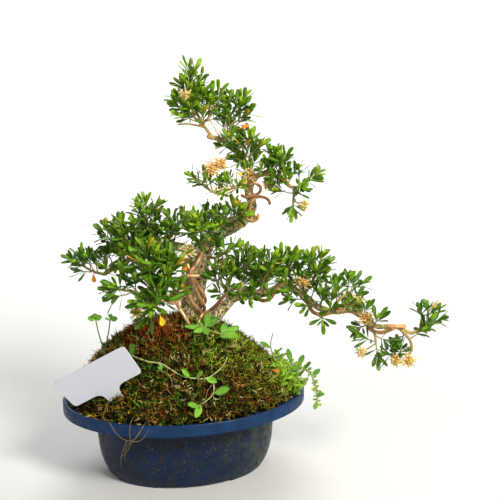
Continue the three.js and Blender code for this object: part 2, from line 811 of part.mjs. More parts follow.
function leafCorners({ root, along, face, length, width }) {
  const across = new THREE.Vector3().crossVectors(face, along).normalize();
  const wide = root.clone()
    .addScaledVector(along, length * LEAF_WIDEST_AT)
    .addScaledVector(face, LEAF_THICKNESS - LEAF_KEEL);
  return [
    wide.clone().addScaledVector(across, -width / 2),
    wide.clone().addScaledVector(across, width / 2),
    root.clone().addScaledVector(along, length).addScaledVector(face, -LEAF_KEEL),
  ];
}

function shootSolid(shoot, plans) {
  const corners = [];
  const faces = [];
  const corner = (place) => corners.push(place) - 1;
  const rings = SHOOT_STATIONS.map((height) => [0, 1, 2, 3].map((turn) => corner(
    shoot.root.clone()
      .addScaledVector(shoot.axis, height)
      .addScaledVector(faceOutward(shoot, turn - 0.5), STEM_HALF * Math.SQRT2),
  )));
  for (let segment = 0; segment + 1 < rings.length; segment += 1) {
    for (let turn = 0; turn < 4; turn += 1) {
      const [low, high] = [rings[segment], rings[segment + 1]];
      const [lowLeft, lowRight] = [low[turn], low[(turn + 1) % 4]];
      const [highLeft, highRight] = [high[turn], high[(turn + 1) % 4]];
      const plan = plans.find((leaf) => leaf.segment === segment && leaf.faceTurn === turn);
      if (!plan) {
        faces.push([lowLeft, lowRight, highRight], [lowLeft, highRight, highLeft]);
        continue;
      }
      const [left, right, tip] = leafCorners(plan).map(corner);
      faces.push([lowLeft, lowRight, tip]);
      faces.push([lowRight, highRight, right], [lowRight, right, tip]);
      faces.push([highRight, highLeft, left], [highRight, left, right]);
      faces.push([highLeft, lowLeft, left], [lowLeft, tip, left]);
      faces.push([left, tip, right]);
    }
  }
  const [foot, head] = [rings[0], rings[rings.length - 1]];
  faces.push([foot[0], foot[2], foot[1]], [foot[0], foot[3], foot[2]]);
  faces.push([head[0], head[1], head[2]], [head[0], head[2], head[3]]);
  const geometry = new THREE.BufferGeometry().setFromPoints(corners);
  geometry.setIndex(faces.flat());
  return toSolid(geometry);
}

function placedItem(solid) {
  return { solid, box: boxOf(solid) };
}

function stemSolid({ root, axis }) {
  const tip = root.clone().addScaledVector(axis, SHOOT_LENGTH);
  return limbSolid(new Limb([[...root, STEM_HALF], [...tip, STEM_HALF]]), 4, 1);
}

function spraySolid(name, twigs, others) {
  const { shoots } = SPRAYS[name];
  const random = seededRandom(name.length * 7919 + name.charCodeAt(name.length - 1));
  const planned = twigs.flatMap(({ limb }, t) => {
    const phase = random() * 2 * Math.PI;
    return Array.from({ length: shoots[t] }, (_, index) => shootPlan(limb, index, shoots[t], phase));
  });
  const own = [...twigs.map(({ solid }) => solid), ...planned.map(stemSolid)].map(placedItem);
  const pieces = twigs.map(({ solid }) => solid);
  for (const shoot of planned) {
    const plans = leafPlans(shoot, random, others, own);
    const solid = shootSolid(shoot, plans);
    if (plans.length > 0 && !crosses(solid, others)) {
      pieces.push(solid);
    }
  }
  return largestBody(joined(pieces));
}

// Flowers: a ball of buds on a short stalk, with stamens standing out of it all round

const BLOOMS = {
  bloom_crown: [[4, -14, 262]],
  bloom_left_shelf: [[19, -21, 214]],
  bloom_apex: [[45, -17, 209]],
  bloom_right_shelf: [[57, -20, 202]],
  bloom_right_shelf_low: [[78, -33, 190]],
  bloom_neck: [[39, -12, 175]],
  bloom_trunk_top: [[3, -18, 160]],
  bloom_trunk_right: [[26, -22, 150]],
  bloom_cascade_1: [[37, -24, 134]],
  bloom_cascade_4: [[75, -43, 141]],
  bloom_cascade_6: [[109, -54, 128]],
  bloom_cascade_7: [[112, -63, 119]],
  bloom_cascade_low: [[106, -73, 100]],
  bloom_cascade_under: [[131, -68, 91], [140, -68, 90]],
  bloom_left_low: [[-33, -28, 123]],
};

function carrierOf(centre, limbs) {
  let best = { distance: Infinity };
  for (const limb of limbs) {
    const near = limb.nearest(centre);
    if (near.distance - near.radius < best.distance) {
      best = { ...near, distance: near.distance - near.radius };
    }
  }
  return { centre: best.centre, reach: best.radius + GAP + 0.05 };
}

// Each face of a ball of buds is drawn out into a stamen

function ballOfBuds() {
  const ball = new THREE.IcosahedronGeometry(BLOOM_CORE, 0);
  ball.deleteAttribute('normal');
  ball.deleteAttribute('uv');
  return mergeVertices(ball);
}

function budsSolid(centre, random, others) {
  const ball = ballOfBuds();
  const corners = [];
  for (let i = 0; i < ball.attributes.position.count; i += 1) {
    corners.push(new THREE.Vector3().fromBufferAttribute(ball.attributes.position, i).add(centre));
  }
  const faces = [];
  for (let i = 0; i < ball.index.count; i += 3) {
    const face = [0, 1, 2].map((k) => ball.index.getX(i + k));
    const [a, b, c] = face.map((k) => corners[k]);
    const outward = a.clone().add(b).add(c).divideScalar(3).sub(centre).normalize();
    const reach = STAMEN_REACH * (0.75 + 0.35 * random());
    const tip = centre.clone().addScaledVector(outward, reach);
    const feeler = new Limb([[...centre, STAMEN_ROOT], [...tip, STAMEN_TIP]]);
    if (crosses(limbSolid(feeler, 3, 1, GAP), others)) {
      faces.push(face);
      continue;
    }
    const point = corners.push(tip) - 1;
    faces.push([face[0], face[1], point], [face[1], face[2], point], [face[2], face[0], point]);
  }
  const geometry = new THREE.BufferGeometry().setFromPoints(corners);
  geometry.setIndex(faces.flat());
  return toSolid(geometry);
}

function bloomSolid(centres, limbs, others) {
  const random = seededRandom(Math.round(centres[0][0] * 31 + centres[0][2]));
  const pieces = [];
  let carrier = carrierOf(vector(centres[0]), limbs);
  for (const centre of centres.map(vector)) {
    const towards = centre.clone().sub(carrier.centre).normalize();
    const foot = carrier.centre.clone().addScaledVector(towards, carrier.reach);
    const stalk = new Limb([[...foot, STALK_RADIUS], [...centre, STALK_RADIUS]]);
    pieces.push(limbSolid(stalk, 3, 1), budsSolid(centre, random, others));
    carrier = { centre, reach: 0 };
  }
  return largestBody(joined(pieces));
}

// Weeds: thin stems rooted in the moss, with their own leaves

const WEEDS = {
  weed_creeper: {
    stems: [
      [[-40, -21, -3, 0.8], [-39, -22, 2, 0.8], [-27, -31, 2.2, 0.7], [-12, -38, 2, 0.7], [2, -42, 2, 0.7],
        [13, -41, 2.2, 0.7], [22, -35, 2.4, 0.7], [26, -29, 2.6, 0.7]],
      [[13, -41, 2, 0.7], [13, -48, 2.4, 0.6], [7, -51, 2.6, 0.6], [2, -52, 2.6, 0.5]],
    ],
    leaves: [
      { stem: 0, at: 0.06, along: [0.3, -0.5, 0.8], length: 11, width: 8 },
      { stem: 0, at: 0.6, along: [-0.5, -0.45, 0.75], length: 11, width: 5 },
      { stem: 1, at: 0.97, along: [-0.7, -0.5, 0.25], length: 9, width: 6 },
      { stem: 1, at: 0.45, along: [0.85, -0.35, 0.35], length: 12, width: 7 },
    ],
  },
  weed_clover: {
    stems: [
      [[-54, -9, -3, 0.8], [-55, -9, 6, 0.7], [-58, -8, 20, 0.6], [-60, -6, 33, 0.5]],
      [[-55, -9, 6, 0.6], [-52, -8, 14, 0.6], [-50, -6, 22, 0.5]],
    ],
    leaves: [
      { stem: 0, at: 0.98, along: [-0.9, -0.2, 0.25], length: 7, width: 5.5 },
      { stem: 0, at: 0.98, along: [0.75, -0.35, 0.35], length: 6.5, width: 5.5 },
      { stem: 1, at: 0.98, along: [0.95, -0.1, 0.2], length: 6, width: 5 },
      { stem: 1, at: 0.98, along: [-0.5, -0.7, 0.4], length: 6.5, width: 5 },
    ],
  },
  weed_rosette: {
    stems: [
      [[14, -13, -3, 1], [14, -13.5, 2, 1], [14, -14, 5, 0.8]],
      [[14, -13.5, 2, 0.7], [20, -16, 3, 0.7], [25, -18, 5, 0.7]],
    ],
    leaves: [
      { stem: 0, at: 0.8, along: [-0.95, -0.1, 0.2], length: 15, width: 4.5 },
      { stem: 0, at: 0.8, along: [-0.65, -0.7, 0.1], length: 13, width: 6 },
      { stem: 0, at: 0.95, along: [0.15, -0.1, 0.95], length: 10, width: 6 },
      { stem: 0, at: 0.9, along: [0.75, -0.2, 0.6], length: 11, width: 6.5 },
      { stem: 1, at: 0.9, along: [0.8, -0.6, 0.05], length: 14, width: 7 },
      { stem: 1, at: 0.95, along: [0.9, 0.1, 0.4], length: 13, width: 6 },
    ],
  },
  weed_edge_clump: {
    stems: [
      [[62, -6, -3, 1], [64, -7, 4, 0.9], [71, -9, 12, 0.8], [79, -11, 16, 0.8], [87, -14, 11, 0.7],
        [91, -16, 0, 0.6], [92, -17, -12, 0.5]],
      [[64, -7, 4, 0.8], [61, -4, 12, 0.6], [63, -2, 22, 0.4]],
      [[73, -9.5, 13.4, 0.7], [72, -16, 12, 0.6], [73, -24, 10, 0.5]],
    ],
    leaves: [
      { stem: 0, at: 0.3, along: [-0.1, 0.5, 0.8], length: 11, width: 4 },
      { stem: 0, at: 0.4, along: [0.5, 0.6, 0.6], length: 10, width: 4 },
      { stem: 0, at: 0.48, along: [0.3, -0.6, 0.7], length: 9, width: 4 },
      { stem: 0, at: 0.62, along: [0.8, 0.3, 0.5], length: 8, width: 4 },
      { stem: 0, at: 0.86, along: [0.7, -0.6, 0.1], length: 6, width: 3.4 },
      { stem: 0, at: 0.97, along: [-0.5, -0.5, -0.7], length: 6, width: 3.4 },
      { stem: 1, at: 0.5, along: [-0.8, 0.2, 0.5], length: 9, width: 3.6 },
      { stem: 2, at: 0.5, along: [0.7, -0.3, 0.6], length: 8, width: 4 },
      { stem: 2, at: 0.95, along: [0.1, -0.8, 0.4], length: 8, width: 4 },
    ],
  },
};

// Weed stems are given by their height over the moss

function weedLimbs(name) {
  return WEEDS[name].stems.map((rows) => new Limb(rows.map(
    ([x, y, lift, radius]) => [x, y, mossHeight(x, y) + lift, radius],
  )));
}

function weedSolid(name, others) {
  const limbs = weedLimbs(name);
  const stems = limbs.map((limb) => limbSolid(limb, WEED_SIDES, Math.round(limb.length / WEED_STEP)));
  const blades = WEEDS[name].leaves.map(({ stem, at, along, length, width }) => {
    const direction = vector(along).normalize();
    const face = new THREE.Vector3(0, -0.3, 1).projectOnPlane(direction).normalize();
    return { root: limbs[stem].pointAt(at), along: direction, face, length, width };
  });
  const clear = blades.filter((plan) => !crosses(bladeSolid({ ...plan, extra: GAP }), others));
  return largestBody(joined([...stems, ...clear.map(bladeSolid)]));
}

// A plain round hole where a weed grows out of the moss

function holeSolid(from, to, radius) {
  return limbSolid(new Limb([[...from, radius], [...to, radius]]), 6, 1);
}

function weedHoles() {
  const weeds = Object.keys(WEEDS).map((name) => {
    const limb = weedLimbs(name)[0];
    const [foot, rise] = [limb.curve.points[0], limb.curve.points[1]];
    return holeSolid(foot.clone().setZ(foot.z - 1), rise, WEEDS[name].stems[0][0][3] + GAP + 0.15);
  });
  return joined(weeds);
}

// Label: a blank white tag with its stem pushed into the moss, leaning back

const LABEL = {
  corner: [-87.6, -27, 74.6],
  along: [0.792, -0.282, 0.542],
  down: [0.563, -0.005, -0.826],
  thickness: 0.8,
};

// Corners of the label: along, up, how far each is rounded, and the way it moves when the label grows

const LABEL_CORNERS = [
  [-0.5, 4, 3, -1, 1],
  [56.4, 0.1, 3, 1, 1],
  [54.9, -22, 3, 1, -1],
  [33.8, -20.7, 7, 1, -1],
  [33.8, -37, 1, 1, -1],
  [28.5, -41, 0.5, 0, -1],
  [23, -37, 1, -1, -1],
  [23, -20, 6, -1, -1],
  [1.4, -18.6, 3, -1, -1],
];

function labelShape(extra) {
  const corners = LABEL_CORNERS.map(
    ([x, y, , outX, outY]) => new THREE.Vector2(x + extra * outX, y + extra * outY),
  );
  const shape = new THREE.Shape();
  corners.forEach((corner, i) => {
    const soft = LABEL_CORNERS[i][2];
    const [enter, leave] = [corners.at(i - 1), corners[(i + 1) % corners.length]]
      .map((next) => next.clone().sub(corner).setLength(soft).add(corner));
    if (i === 0) {
      shape.moveTo(...enter);
    } else {
      shape.lineTo(...enter);
    }
    shape.quadraticCurveTo(...corner, ...leave);
  });
  return shape;
}

function labelSolid(extra = 0) {
  const depth = LABEL.thickness + 2 * extra;
  const options = { depth, bevelEnabled: false, curveSegments: 2 };
  const plate = new THREE.ExtrudeGeometry(labelShape(extra), options);
  const along = vector(LABEL.along).normalize();
  const up = vector(LABEL.down).negate().projectOnPlane(along).normalize();
  const facing = new THREE.Vector3().crossVectors(along, up);
  const place = new THREE.Matrix4().makeBasis(along, up, facing).setPosition(vector(LABEL.corner));
  return toSolid(plate.translate(0, 0, -depth / 2).applyMatrix4(place));
}

// Pieces that stand as they are: pot, soil, moss, label, wood and wires

function standingPieces(fatWood, fatWires) {
  const deep = fatWood.add(labelSolid(GAP));
  const moss = mossSolid().subtract(deep).subtract(fatWires).subtract(weedHoles());
  const pieces = {
    pot: { solid: potSolid(), material: MATERIALS.pot },
    soil: { solid: soilSolid().subtract(deep), material: MATERIALS.soil },
    moss: { solid: moss, material: MATERIALS.moss },
    plant_label: { solid: labelSolid(), material: MATERIALS.label },
    tree: { solid: woodSolid(), material: MATERIALS.bark },
  };
  for (const [name, wire] of Object.entries(WIRES)) {
    pieces[name] = { solid: wireNode(wire), material: MATERIALS.wire };
  }
  return pieces;
}

// The twigs of each spray, each ending clear of the branch that it grows from

function twigTable(fatWood, fatWires) {
  const table = {};
  for (const [name, plan] of Object.entries(SPRAYS)) {
    table[name] = plan.twigs.map((points) => {
      const limb = twigLimb(points);
      const twig = limbSolid(limb, TWIG_SIDES, TWIG_STEPS);
      const solid = largestBody(twig.subtract(fatWood).subtract(fatWires));
      return { limb, ...placedItem(solid) };
    });
  }
  return table;
}

// The whole tree, built from the pot up so that each piece is bent clear of those before it

function buildPieces() {
  const fatWood = woodSolid(GAP);
  const fatWires = joined(Object.values(WIRES).map((wire) => wireNode(wire, GAP)));
  const pieces = standingPieces(fatWood, fatWires);
  const twigs = twigTable(fatWood, fatWires);
  const limbs = [...WOOD, ...Object.values(twigs).flat()].map(({ limb }) => limb);
  const placed = Object.values(pieces).map(({ solid }) => placedItem(solid));

  function add(name, material, makeSolid) {
    const otherTwigs = Object.keys(twigs).filter((owner) => owner !== name);
    const solid = makeSolid([...placed, ...otherTwigs.flatMap((owner) => twigs[owner])]);
    pieces[name] = { solid, material };
    placed.push(placedItem(solid));
  }

  for (const [name, centres] of Object.entries(BLOOMS)) {
    add(name, MATERIALS.flower, (others) => bloomSolid(centres, limbs, others));
  }
  for (const name of Object.keys(WEEDS)) {
    add(name, MATERIALS.weed, (others) => weedSolid(name, others));
  }
  for (const name of Object.keys(SPRAYS)) {
    add(name, MATERIALS.leaf, (others) => spraySolid(name, twigs[name], others));
  }
  return pieces;
}

const bonsai = new THREE.Group();
bonsai.name = 'boxwood_bonsai';
for (const [name, { solid, material }] of Object.entries(buildPieces())) {
  const mesh = new THREE.Mesh(toGeometry(solid), material);
  mesh.name = name;
  bonsai.add(mesh);
}

export default bonsai;
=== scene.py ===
"""Looks of a boxwood bonsai in its oval blue training pot.

Shapes are worked out in millimetres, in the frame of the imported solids, and turned into metres
when a mesh is made. Colours are linear red, green and blue.
"""

import math
import random

import bmesh
import bpy
import numpy as np
from mathutils import Matrix, Vector, kdtree, noise


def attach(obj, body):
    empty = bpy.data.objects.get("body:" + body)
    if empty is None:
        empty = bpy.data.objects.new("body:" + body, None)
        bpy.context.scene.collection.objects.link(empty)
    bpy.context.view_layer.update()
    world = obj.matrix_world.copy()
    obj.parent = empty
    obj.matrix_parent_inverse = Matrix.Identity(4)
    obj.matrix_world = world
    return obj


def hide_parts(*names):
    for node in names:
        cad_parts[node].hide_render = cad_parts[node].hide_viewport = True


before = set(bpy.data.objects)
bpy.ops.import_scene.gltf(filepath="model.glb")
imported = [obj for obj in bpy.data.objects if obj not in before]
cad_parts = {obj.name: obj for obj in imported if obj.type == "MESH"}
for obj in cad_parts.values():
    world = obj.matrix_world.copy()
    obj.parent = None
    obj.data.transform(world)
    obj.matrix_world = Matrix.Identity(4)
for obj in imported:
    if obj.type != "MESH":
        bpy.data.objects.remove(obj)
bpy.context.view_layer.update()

MM = 0.001
GOLDEN_ANGLE = math.radians(137.5)
UP = np.array((0.0, 0.0, 1.0))
FRONT = np.array((-0.177, -0.984, 0.0))

# Sizes shared with the solids

POT_LENGTH = 170
POT_WIDTH = 124
POT_HEIGHT = 55
POT_RATIO = POT_WIDTH / POT_LENGTH
RIM_RADIUS = POT_LENGTH / 2
SKIRT_DROP = 8
WALL = 2
FLOOR_UNDERSIDE = 2
FLOOR_TOP = 4.5
BODY_TOP_RADIUS = 63
BODY_FOOT_RADIUS = 55
LEDGE_OUTER = (81.5, 53.6)
LEDGE_INNER = (63.5, 51.6)
FOOT_NOTCH_WIDE = 52
FOOT_NOTCH_DEEP = 34
BOSS_RADIUS = 10
DRAIN_RADIUS = 6
DRAIN_OFFSET = 28
GAP = 0.35

MOUND_PEAK = (6, 7)
MOSS_EDGE = (78, 55.5)
MOSS_EDGE_Z = 54.6
MOUND_TOP_Z = 106
MOUND_FULLNESS = 2.3
MOUND_LEFT_BULGE = 0.7
MOSS_THICKNESS = 3.4
MOSS_EDGE_FLOOR = 53.65
MOSS_RELIEF = 0.9

TWIG_ROOT = 1.15
TWIG_TIP = 0.7
TRUNK_WIRE_RADIUS = 1.2
BRANCH_WIRE_RADIUS = 1.3
CROWN_WIRE_RADIUS = 1.05
WIRE_STAND_OFF = 0.35
WIRE_PUSH_OFF = 0.55

# Sizes that only the looks have

LEAF_LENGTH = 10.8
LEAF_WIDTH = 3.05
LEAF_THICKNESS = 0.3
SHOOT_LENGTH = 5.6
LEAFY_SHARE = 0.8
MOSS_STRANDS = 30000
STRANDS_A_TUFT = 4
MOSS_LUMPS = 1.1
BARK_VOXEL = 0.5

# Stems: radius at the root and at the tip, sides, and step between rings

SHOOT = (0.45, 0.28, 5, 2.5)
SIDE_TWIG = (0.55, 0.42, 6, 2)
LEADER = (0.6, 0.45, 6, 2)
LEAF_STALK = (0.4, 0.25, 5, 1.5)
STICK = (0.5, 0.75, 7, 1.2)
STAMEN = (0.42, 0.3, 4, 1.8)
BLOOM_STALK = (0.55, 0.5, 7, 1.5)
CLUMP_STEM = (0.35, 0.22, 4, 1.8)
HANGING_STRAW = (0.25, 0.17, 5, 1.5)
GRASS_BLADE = (0.32, 0.12, 4, 1.8)

# Colours

def rgb(*levels):
    return np.array(levels)


OLD_LEAF = rgb(0.007, 0.042, 0.002)
MIDDLE_LEAF = rgb(0.042, 0.16, 0.004)
BRIGHT_LEAF = rgb(0.2, 0.4, 0.01)
NEW_LEAF = rgb(0.56, 0.68, 0.03)
YELLOW_LEAF = rgb(0.85, 0.48, 0.01)
ORANGE_LEAF = rgb(0.78, 0.22, 0.008)
DRY_LEAF = rgb(0.43, 0.27, 0.03)
LEAF_RIB = rgb(0.21, 0.4, 0.03)
LEAF_UNDERSIDE = rgb(0.11, 0.24, 0.025)
GREEN_STEM = rgb(0.26, 0.33, 0.05)
TWIG_BARK = rgb(0.38, 0.26, 0.1)
# Dark of the cracks and pits: partly the bark's own fissures, partly painted shade in these recesses.
BARK_CREVICE_AND_SHADE = rgb(0.05, 0.03, 0.01)
BARK_PLATE = rgb(0.96, 0.76, 0.4)
BARK_CREAM = rgb(1.0, 0.92, 0.62)
THIN_BARK = rgb(0.54, 0.3, 0.11)
BARK_LICHEN = rgb(0.52, 0.49, 0.1)
STAMEN_CREAM = rgb(0.86, 0.74, 0.3)
STAMEN_WARM = rgb(0.82, 0.4, 0.09)
ANTHER = rgb(0.9, 0.84, 0.64)
BUD_YELLOW = rgb(0.7, 0.52, 0.07)
BUD_ORANGE = rgb(0.64, 0.23, 0.03)
WEED_GREEN = rgb(0.085, 0.33, 0.025)
WEED_PALE = rgb(0.42, 0.5, 0.2)
WEED_BRIGHT = rgb(0.19, 0.47, 0.025)
WEED_STEM = rgb(0.54, 0.53, 0.23)
WEED_DARK_STEM = rgb(0.07, 0.09, 0.03)
STRAW = rgb(0.33, 0.24, 0.095)
MOSS_BLACK = rgb(0.004, 0.003, 0.001)
MOSS_BROWN = rgb(0.09, 0.05, 0.009)
MOSS_RUST = rgb(0.33, 0.08, 0.009)
MOSS_ORANGE = rgb(0.5, 0.27, 0.03)
MOSS_OLIVE = rgb(0.25, 0.235, 0.018)
MOSS_GREEN = rgb(0.12, 0.3, 0.014)
MOSS_BRIGHT = rgb(0.44, 0.58, 0.035)
MOSS_STRAW = rgb(0.76, 0.68, 0.3)
WIRE_COPPER = rgb(0.62, 0.31, 0.115)
# A paler copy of the copper for the wires round the trunk: painted light.
WIRE_COPPER_LIT = rgb(0.88, 0.5, 0.24)
# The body's darker blue is painted shade under the overhanging rim.
POT_BODY_SHADED = (0.002, 0.014, 0.044)
POT_LEDGE = (0.006, 0.027, 0.05)
POT_BAND = (0.004, 0.028, 0.09)
POT_DIRT = (0.022, 0.023, 0.02)
POT_FILM = (0.07, 0.088, 0.026)
POT_SPECKS = (0.2, 0.15, 0.1)
LABEL_WHITE = (0.54, 0.55, 0.61)
LABEL_STAIN = (0.33, 0.26, 0.15)
SOIL_SHADES = ((0.3, (0.012, 0.007, 0.004)), (0.6, (0.045, 0.027, 0.014)), (0.8, (0.13, 0.09, 0.05)))


# Small tools

def unit(vector):
    return vector / np.linalg.norm(vector)


def turned(vector, axis, angle):
    """The vector turned round a unit axis."""
    return (vector * math.cos(angle) + np.cross(axis, vector) * math.sin(angle)
            + axis * axis.dot(vector) * (1 - math.cos(angle)))


def sideways_of(direction):
    helper = np.array((1.0, 0.0, 0.0)) if abs(direction[2]) > 0.9 else UP
    return unit(np.cross(direction, helper))


def mix(first, second, share):
    return np.asarray(first) * (1 - share) + np.asarray(second) * share


def bent(enter, corner, leave, share):
    """A point of the curve from enter to leave that is drawn towards a corner."""
    return enter * (1 - share)**2 + 2 * corner * share * (1 - share) + leave * share**2


def ring_angles(sides):
    return np.arange(sides) * 2 * math.pi / sides


def clamped(value, high=1):
    return min(max(value, 0), high)


def grain(point, scale, offset=0.0):
    """Smooth noise from -1 to 1 with features about scale millimetres wide."""
    return noise.noise(Vector(point) / scale + Vector((offset, -offset, offset)))


def band_faces(rings, sides, first=0):
    """Faces between rings of points that follow each other, the first point numbered first."""
    faces = []
    for ring in range(rings - 1):
        near = first + ring * sides
        for side in range(sides):
            after = (side + 1) % sides
            faces.append((near + side, near + after, near + sides + after, near + sides + side))
    return faces


def closed_faces(rings, sides):
    """Faces of a shell whose points 0 and 1 are its two ends, with the rings after them."""
    last = 2 + (rings - 1) * sides
    faces = band_faces(rings, sides, 2)
    for side in range(sides):
        after = (side + 1) % sides
        faces.append((0, 2 + after, 2 + side))
        faces.append((1, last + side, last + after))
    return faces


def flipped(faces):
    """The faces turned over, each still starting at its first corner."""
    return [(face[0], *reversed(face[1:])) for face in faces]


# Meshes gathered shape by shape

def placed(name, data):
    """A new object in the scene."""
    piece = bpy.data.objects.new(name, data)
    bpy.context.scene.collection.objects.link(piece)
    return piece


class Parts:
    """Vertices in millimetres, faces, and a colour for each vertex."""

    def __init__(self):
        self.points = []
        self.faces = []
        self.colours = []
        self.count = 0

    def add(self, points, faces, colours):
        points = np.asarray(points, float)
        self.points.append(points)
        self.faces.extend(tuple(corner + self.count for corner in face) for face in faces)
        self.colours.append(np.broadcast_to(colours, (len(points), 3)))
        self.count += len(points)

    def build(self, name, material):
        mesh = bpy.data.meshes.new(name)
        points = np.concatenate(self.points) * MM
        mesh.from_pydata(points.tolist(), [], self.faces)
        mesh.shade_smooth()
        mesh.materials.append(material)
        paint(mesh, np.concatenate(self.colours))
        return placed(name, mesh)


def paint(mesh, colours):
    layer = mesh.color_attributes.new("tint", "FLOAT_COLOR", "POINT")
    values = np.ones((len(mesh.vertices), 4), np.float32)
    values[:, :3] = colours
    layer.data.foreach_set("color", values.ravel())


def applied(piece):
    """Turns the piece's modifiers into its mesh."""
    graph = bpy.context.evaluated_depsgraph_get()
    mesh = bpy.data.meshes.new_from_object(piece.evaluated_get(graph))
    piece.modifiers.clear()
    piece.data = mesh
    return piece


def dress(piece, slot, *nodes):
    """Says what a finished piece rides on and the solids that it stands for; the slot it is given is not
    used.
    """
    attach(piece, "root")
    if nodes:
        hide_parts(*nodes)


# Limbs: a centre line through rows of x, y, z and radius

SPAN_STEPS = 12


def curve_span(before, start, end, after):
    """Points of a centripetal Catmull-Rom curve from start up to, but not at, end."""
    pairs = ((before, start), (start, end), (end, after))
    lead, span, trail = (math.sqrt(np.linalg.norm(b - a)) for a, b in pairs)
    leave = ((start - before) / lead - (end - before) / (lead + span) + (end - start) / span) * span
    arrive = ((end - start) / span - (after - start) / (span + trail) + (after - end) / trail) * span
    t = np.arange(SPAN_STEPS)[:, None] / SPAN_STEPS
    return ((2 * t**3 - 3 * t**2 + 1) * start + (t**3 - 2 * t**2 + t) * leave
            + (3 * t**2 - 2 * t**3) * end + (t**3 - t**2) * arrive)


class Limb:
    def __init__(self, rows):
        rows = np.array(rows, float)
        knots = rows[:, :3]
        ends = (2 * knots[0] - knots[1], 2 * knots[-1] - knots[-2])
        reach = np.vstack((ends[0], knots, ends[1]))
        spans = [curve_span(*reach[i:i + 4]) for i in range(len(knots) - 1)]
        self.line = np.vstack((*spans, knots[-1]))
        places = np.arange(len(self.line)) / SPAN_STEPS
        self.radii = np.interp(places, np.arange(len(rows)), rows[:, 3])
        steps = np.linalg.norm(np.diff(self.line, axis=0), axis=1)
        self.run = np.concatenate(((0,), np.cumsum(steps)))
        self.length = self.run[-1]

    def point(self, share):
        wanted = np.clip(share, 0, 1) * self.length
        return np.stack([np.interp(wanted, self.run, axis) for axis in self.line.T], axis=-1)

    def radius(self, share):
        return np.interp(np.clip(share, 0, 1) * self.length, self.run, self.radii)

    def tangent(self, share):
        return unit(self.point(share + 0.004) - self.point(share - 0.004))

    def nearest(self, place):
        """Centre, radius and distance of the limb's point nearest to a place."""
        distances = np.linalg.norm(self.line - place, axis=1)
        i = int(distances.argmin())
        return self.line[i], self.radii[i], distances[i]


def plain_limb(points, radius, tip_radius):
    radii = np.linspace(radius, tip_radius, len(points))
    return Limb([(*point, r) for point, r in zip(points, radii)])


# Shapes

def add_tube(parts, limb, sides, step, root_colour, tip_colour=None):
    """A closed round tube along a limb, its colour running from root to tip."""
    count = max(2, round(limb.length / step))
    shares = np.linspace(0, 1, count + 1)
    points = limb.point(shares)
    radii = limb.radius(shares)
    along = np.gradient(points, axis=0)
    along /= np.linalg.norm(along, axis=1)[:, None]
    across = np.empty_like(along)
    side = sideways_of(along[0])
    for i, direction in enumerate(along):
        side = unit(side - direction * side.dot(direction))
        across[i] = side
    upward = np.cross(along, across)
    angles = ring_angles(sides)
    cosines, sines = np.cos(angles)[None, :, None], np.sin(angles)[None, :, None]
    circle = cosines * across[:, None] + sines * upward[:, None]
    rings = points[:, None] + radii[:, None, None] * circle
    poles = (points[0] - along[0] * radii[0] * 0.5, points[-1] + along[-1] * radii[-1] * 0.5)
    faces = band_faces(count + 1, sides)
    foot, head = (count + 1) * sides, (count + 1) * sides + 1
    for j in range(sides):
        k = (j + 1) % sides
        faces.append((k, j, foot))
        faces.append((count * sides + j, count * sides + k, head))
    tip_colour = root_colour if tip_colour is None else tip_colour
    ring_colours = root_colour * (1 - shares[:, None]) + tip_colour * shares[:, None]
    colours = np.vstack((np.repeat(ring_colours, sides, axis=0), root_colour, tip_colour))
    parts.add(np.vstack((rings.reshape(-1, 3), *poles)), faces, colours)


def add_stem(parts, points, stem, root_colour, tip_colour=None):
    """A tube through points; a stem is its radius at root and tip, its sides and the step of its rings."""
    radius, tip_radius, sides, step = stem
    limb = plain_limb(points, radius, tip_radius)
    add_tube(parts, limb, sides, step, root_colour, tip_colour)
    return limb


def ball_template():
    ball = bmesh.new()
    bmesh.ops.create_icosphere(ball, subdivisions=2, radius=1)
    points = np.array([vertex.co for vertex in ball.verts])
    faces = [tuple(vertex.index for vertex in face.verts) for face in ball.faces]
    ball.free()
    return points, faces


BALL = ball_template()


def add_ball(parts, centre, along, length, width, colour):
    across = sideways_of(along)
    basis = np.array((across * width / 2, np.cross(along, across) * width / 2, along * length / 2))
    parts.add(BALL[0] @ basis + centre, BALL[1], colour)


# Leaves: rows of place along the leaf and half width there, as shares of its length and width

SPATULATE = ((0, 0.14), (0.13, 0.18), (0.34, 0.52), (0.56, 0.86), (0.75, 1), (0.89, 0.82), (0.97, 0.46))
OVAL = ((0, 0.08), (0.1, 0.3), (0.28, 0.78), (0.48, 1), (0.68, 0.93), (0.85, 0.64), (0.96, 0.28))
COLUMNS = (-1, -0.5, 0, 0.5, 1)
ROW_POINTS = len(COLUMNS) + 1


def leaf_template(outline):
    """Rows of across, along, column and side, and the faces of a thin closed leaf.

    Each row has five points above, of which the outer two are the edges, and one below.
    """
    rows = []
    for along, half in outline:
        rows += [(column * half, along, column, 1) for column in COLUMNS]
        rows.append((0, along, 0, -1))
    tip = len(rows)
    rows.append((0, 1, 1, 0))
    right, below = len(COLUMNS) - 1, len(COLUMNS)
    faces = [(below, *range(right, -1, -1))]
    for row in range(len(outline)):
        low, high = row * ROW_POINTS, (row + 1) * ROW_POINTS
        strips = [(k, k + 1) for k in range(right)] + [(right, below), (below, 0)]
        for a, b in strips:
            is_last = row == len(outline) - 1
            faces.append((low + a, low + b, tip) if is_last else (low + a, low + b, high + b, high + a))
    return np.array(rows, float), faces


LEAF_SHAPES = {"spatulate": leaf_template(SPATULATE), "oval": leaf_template(OVAL)}


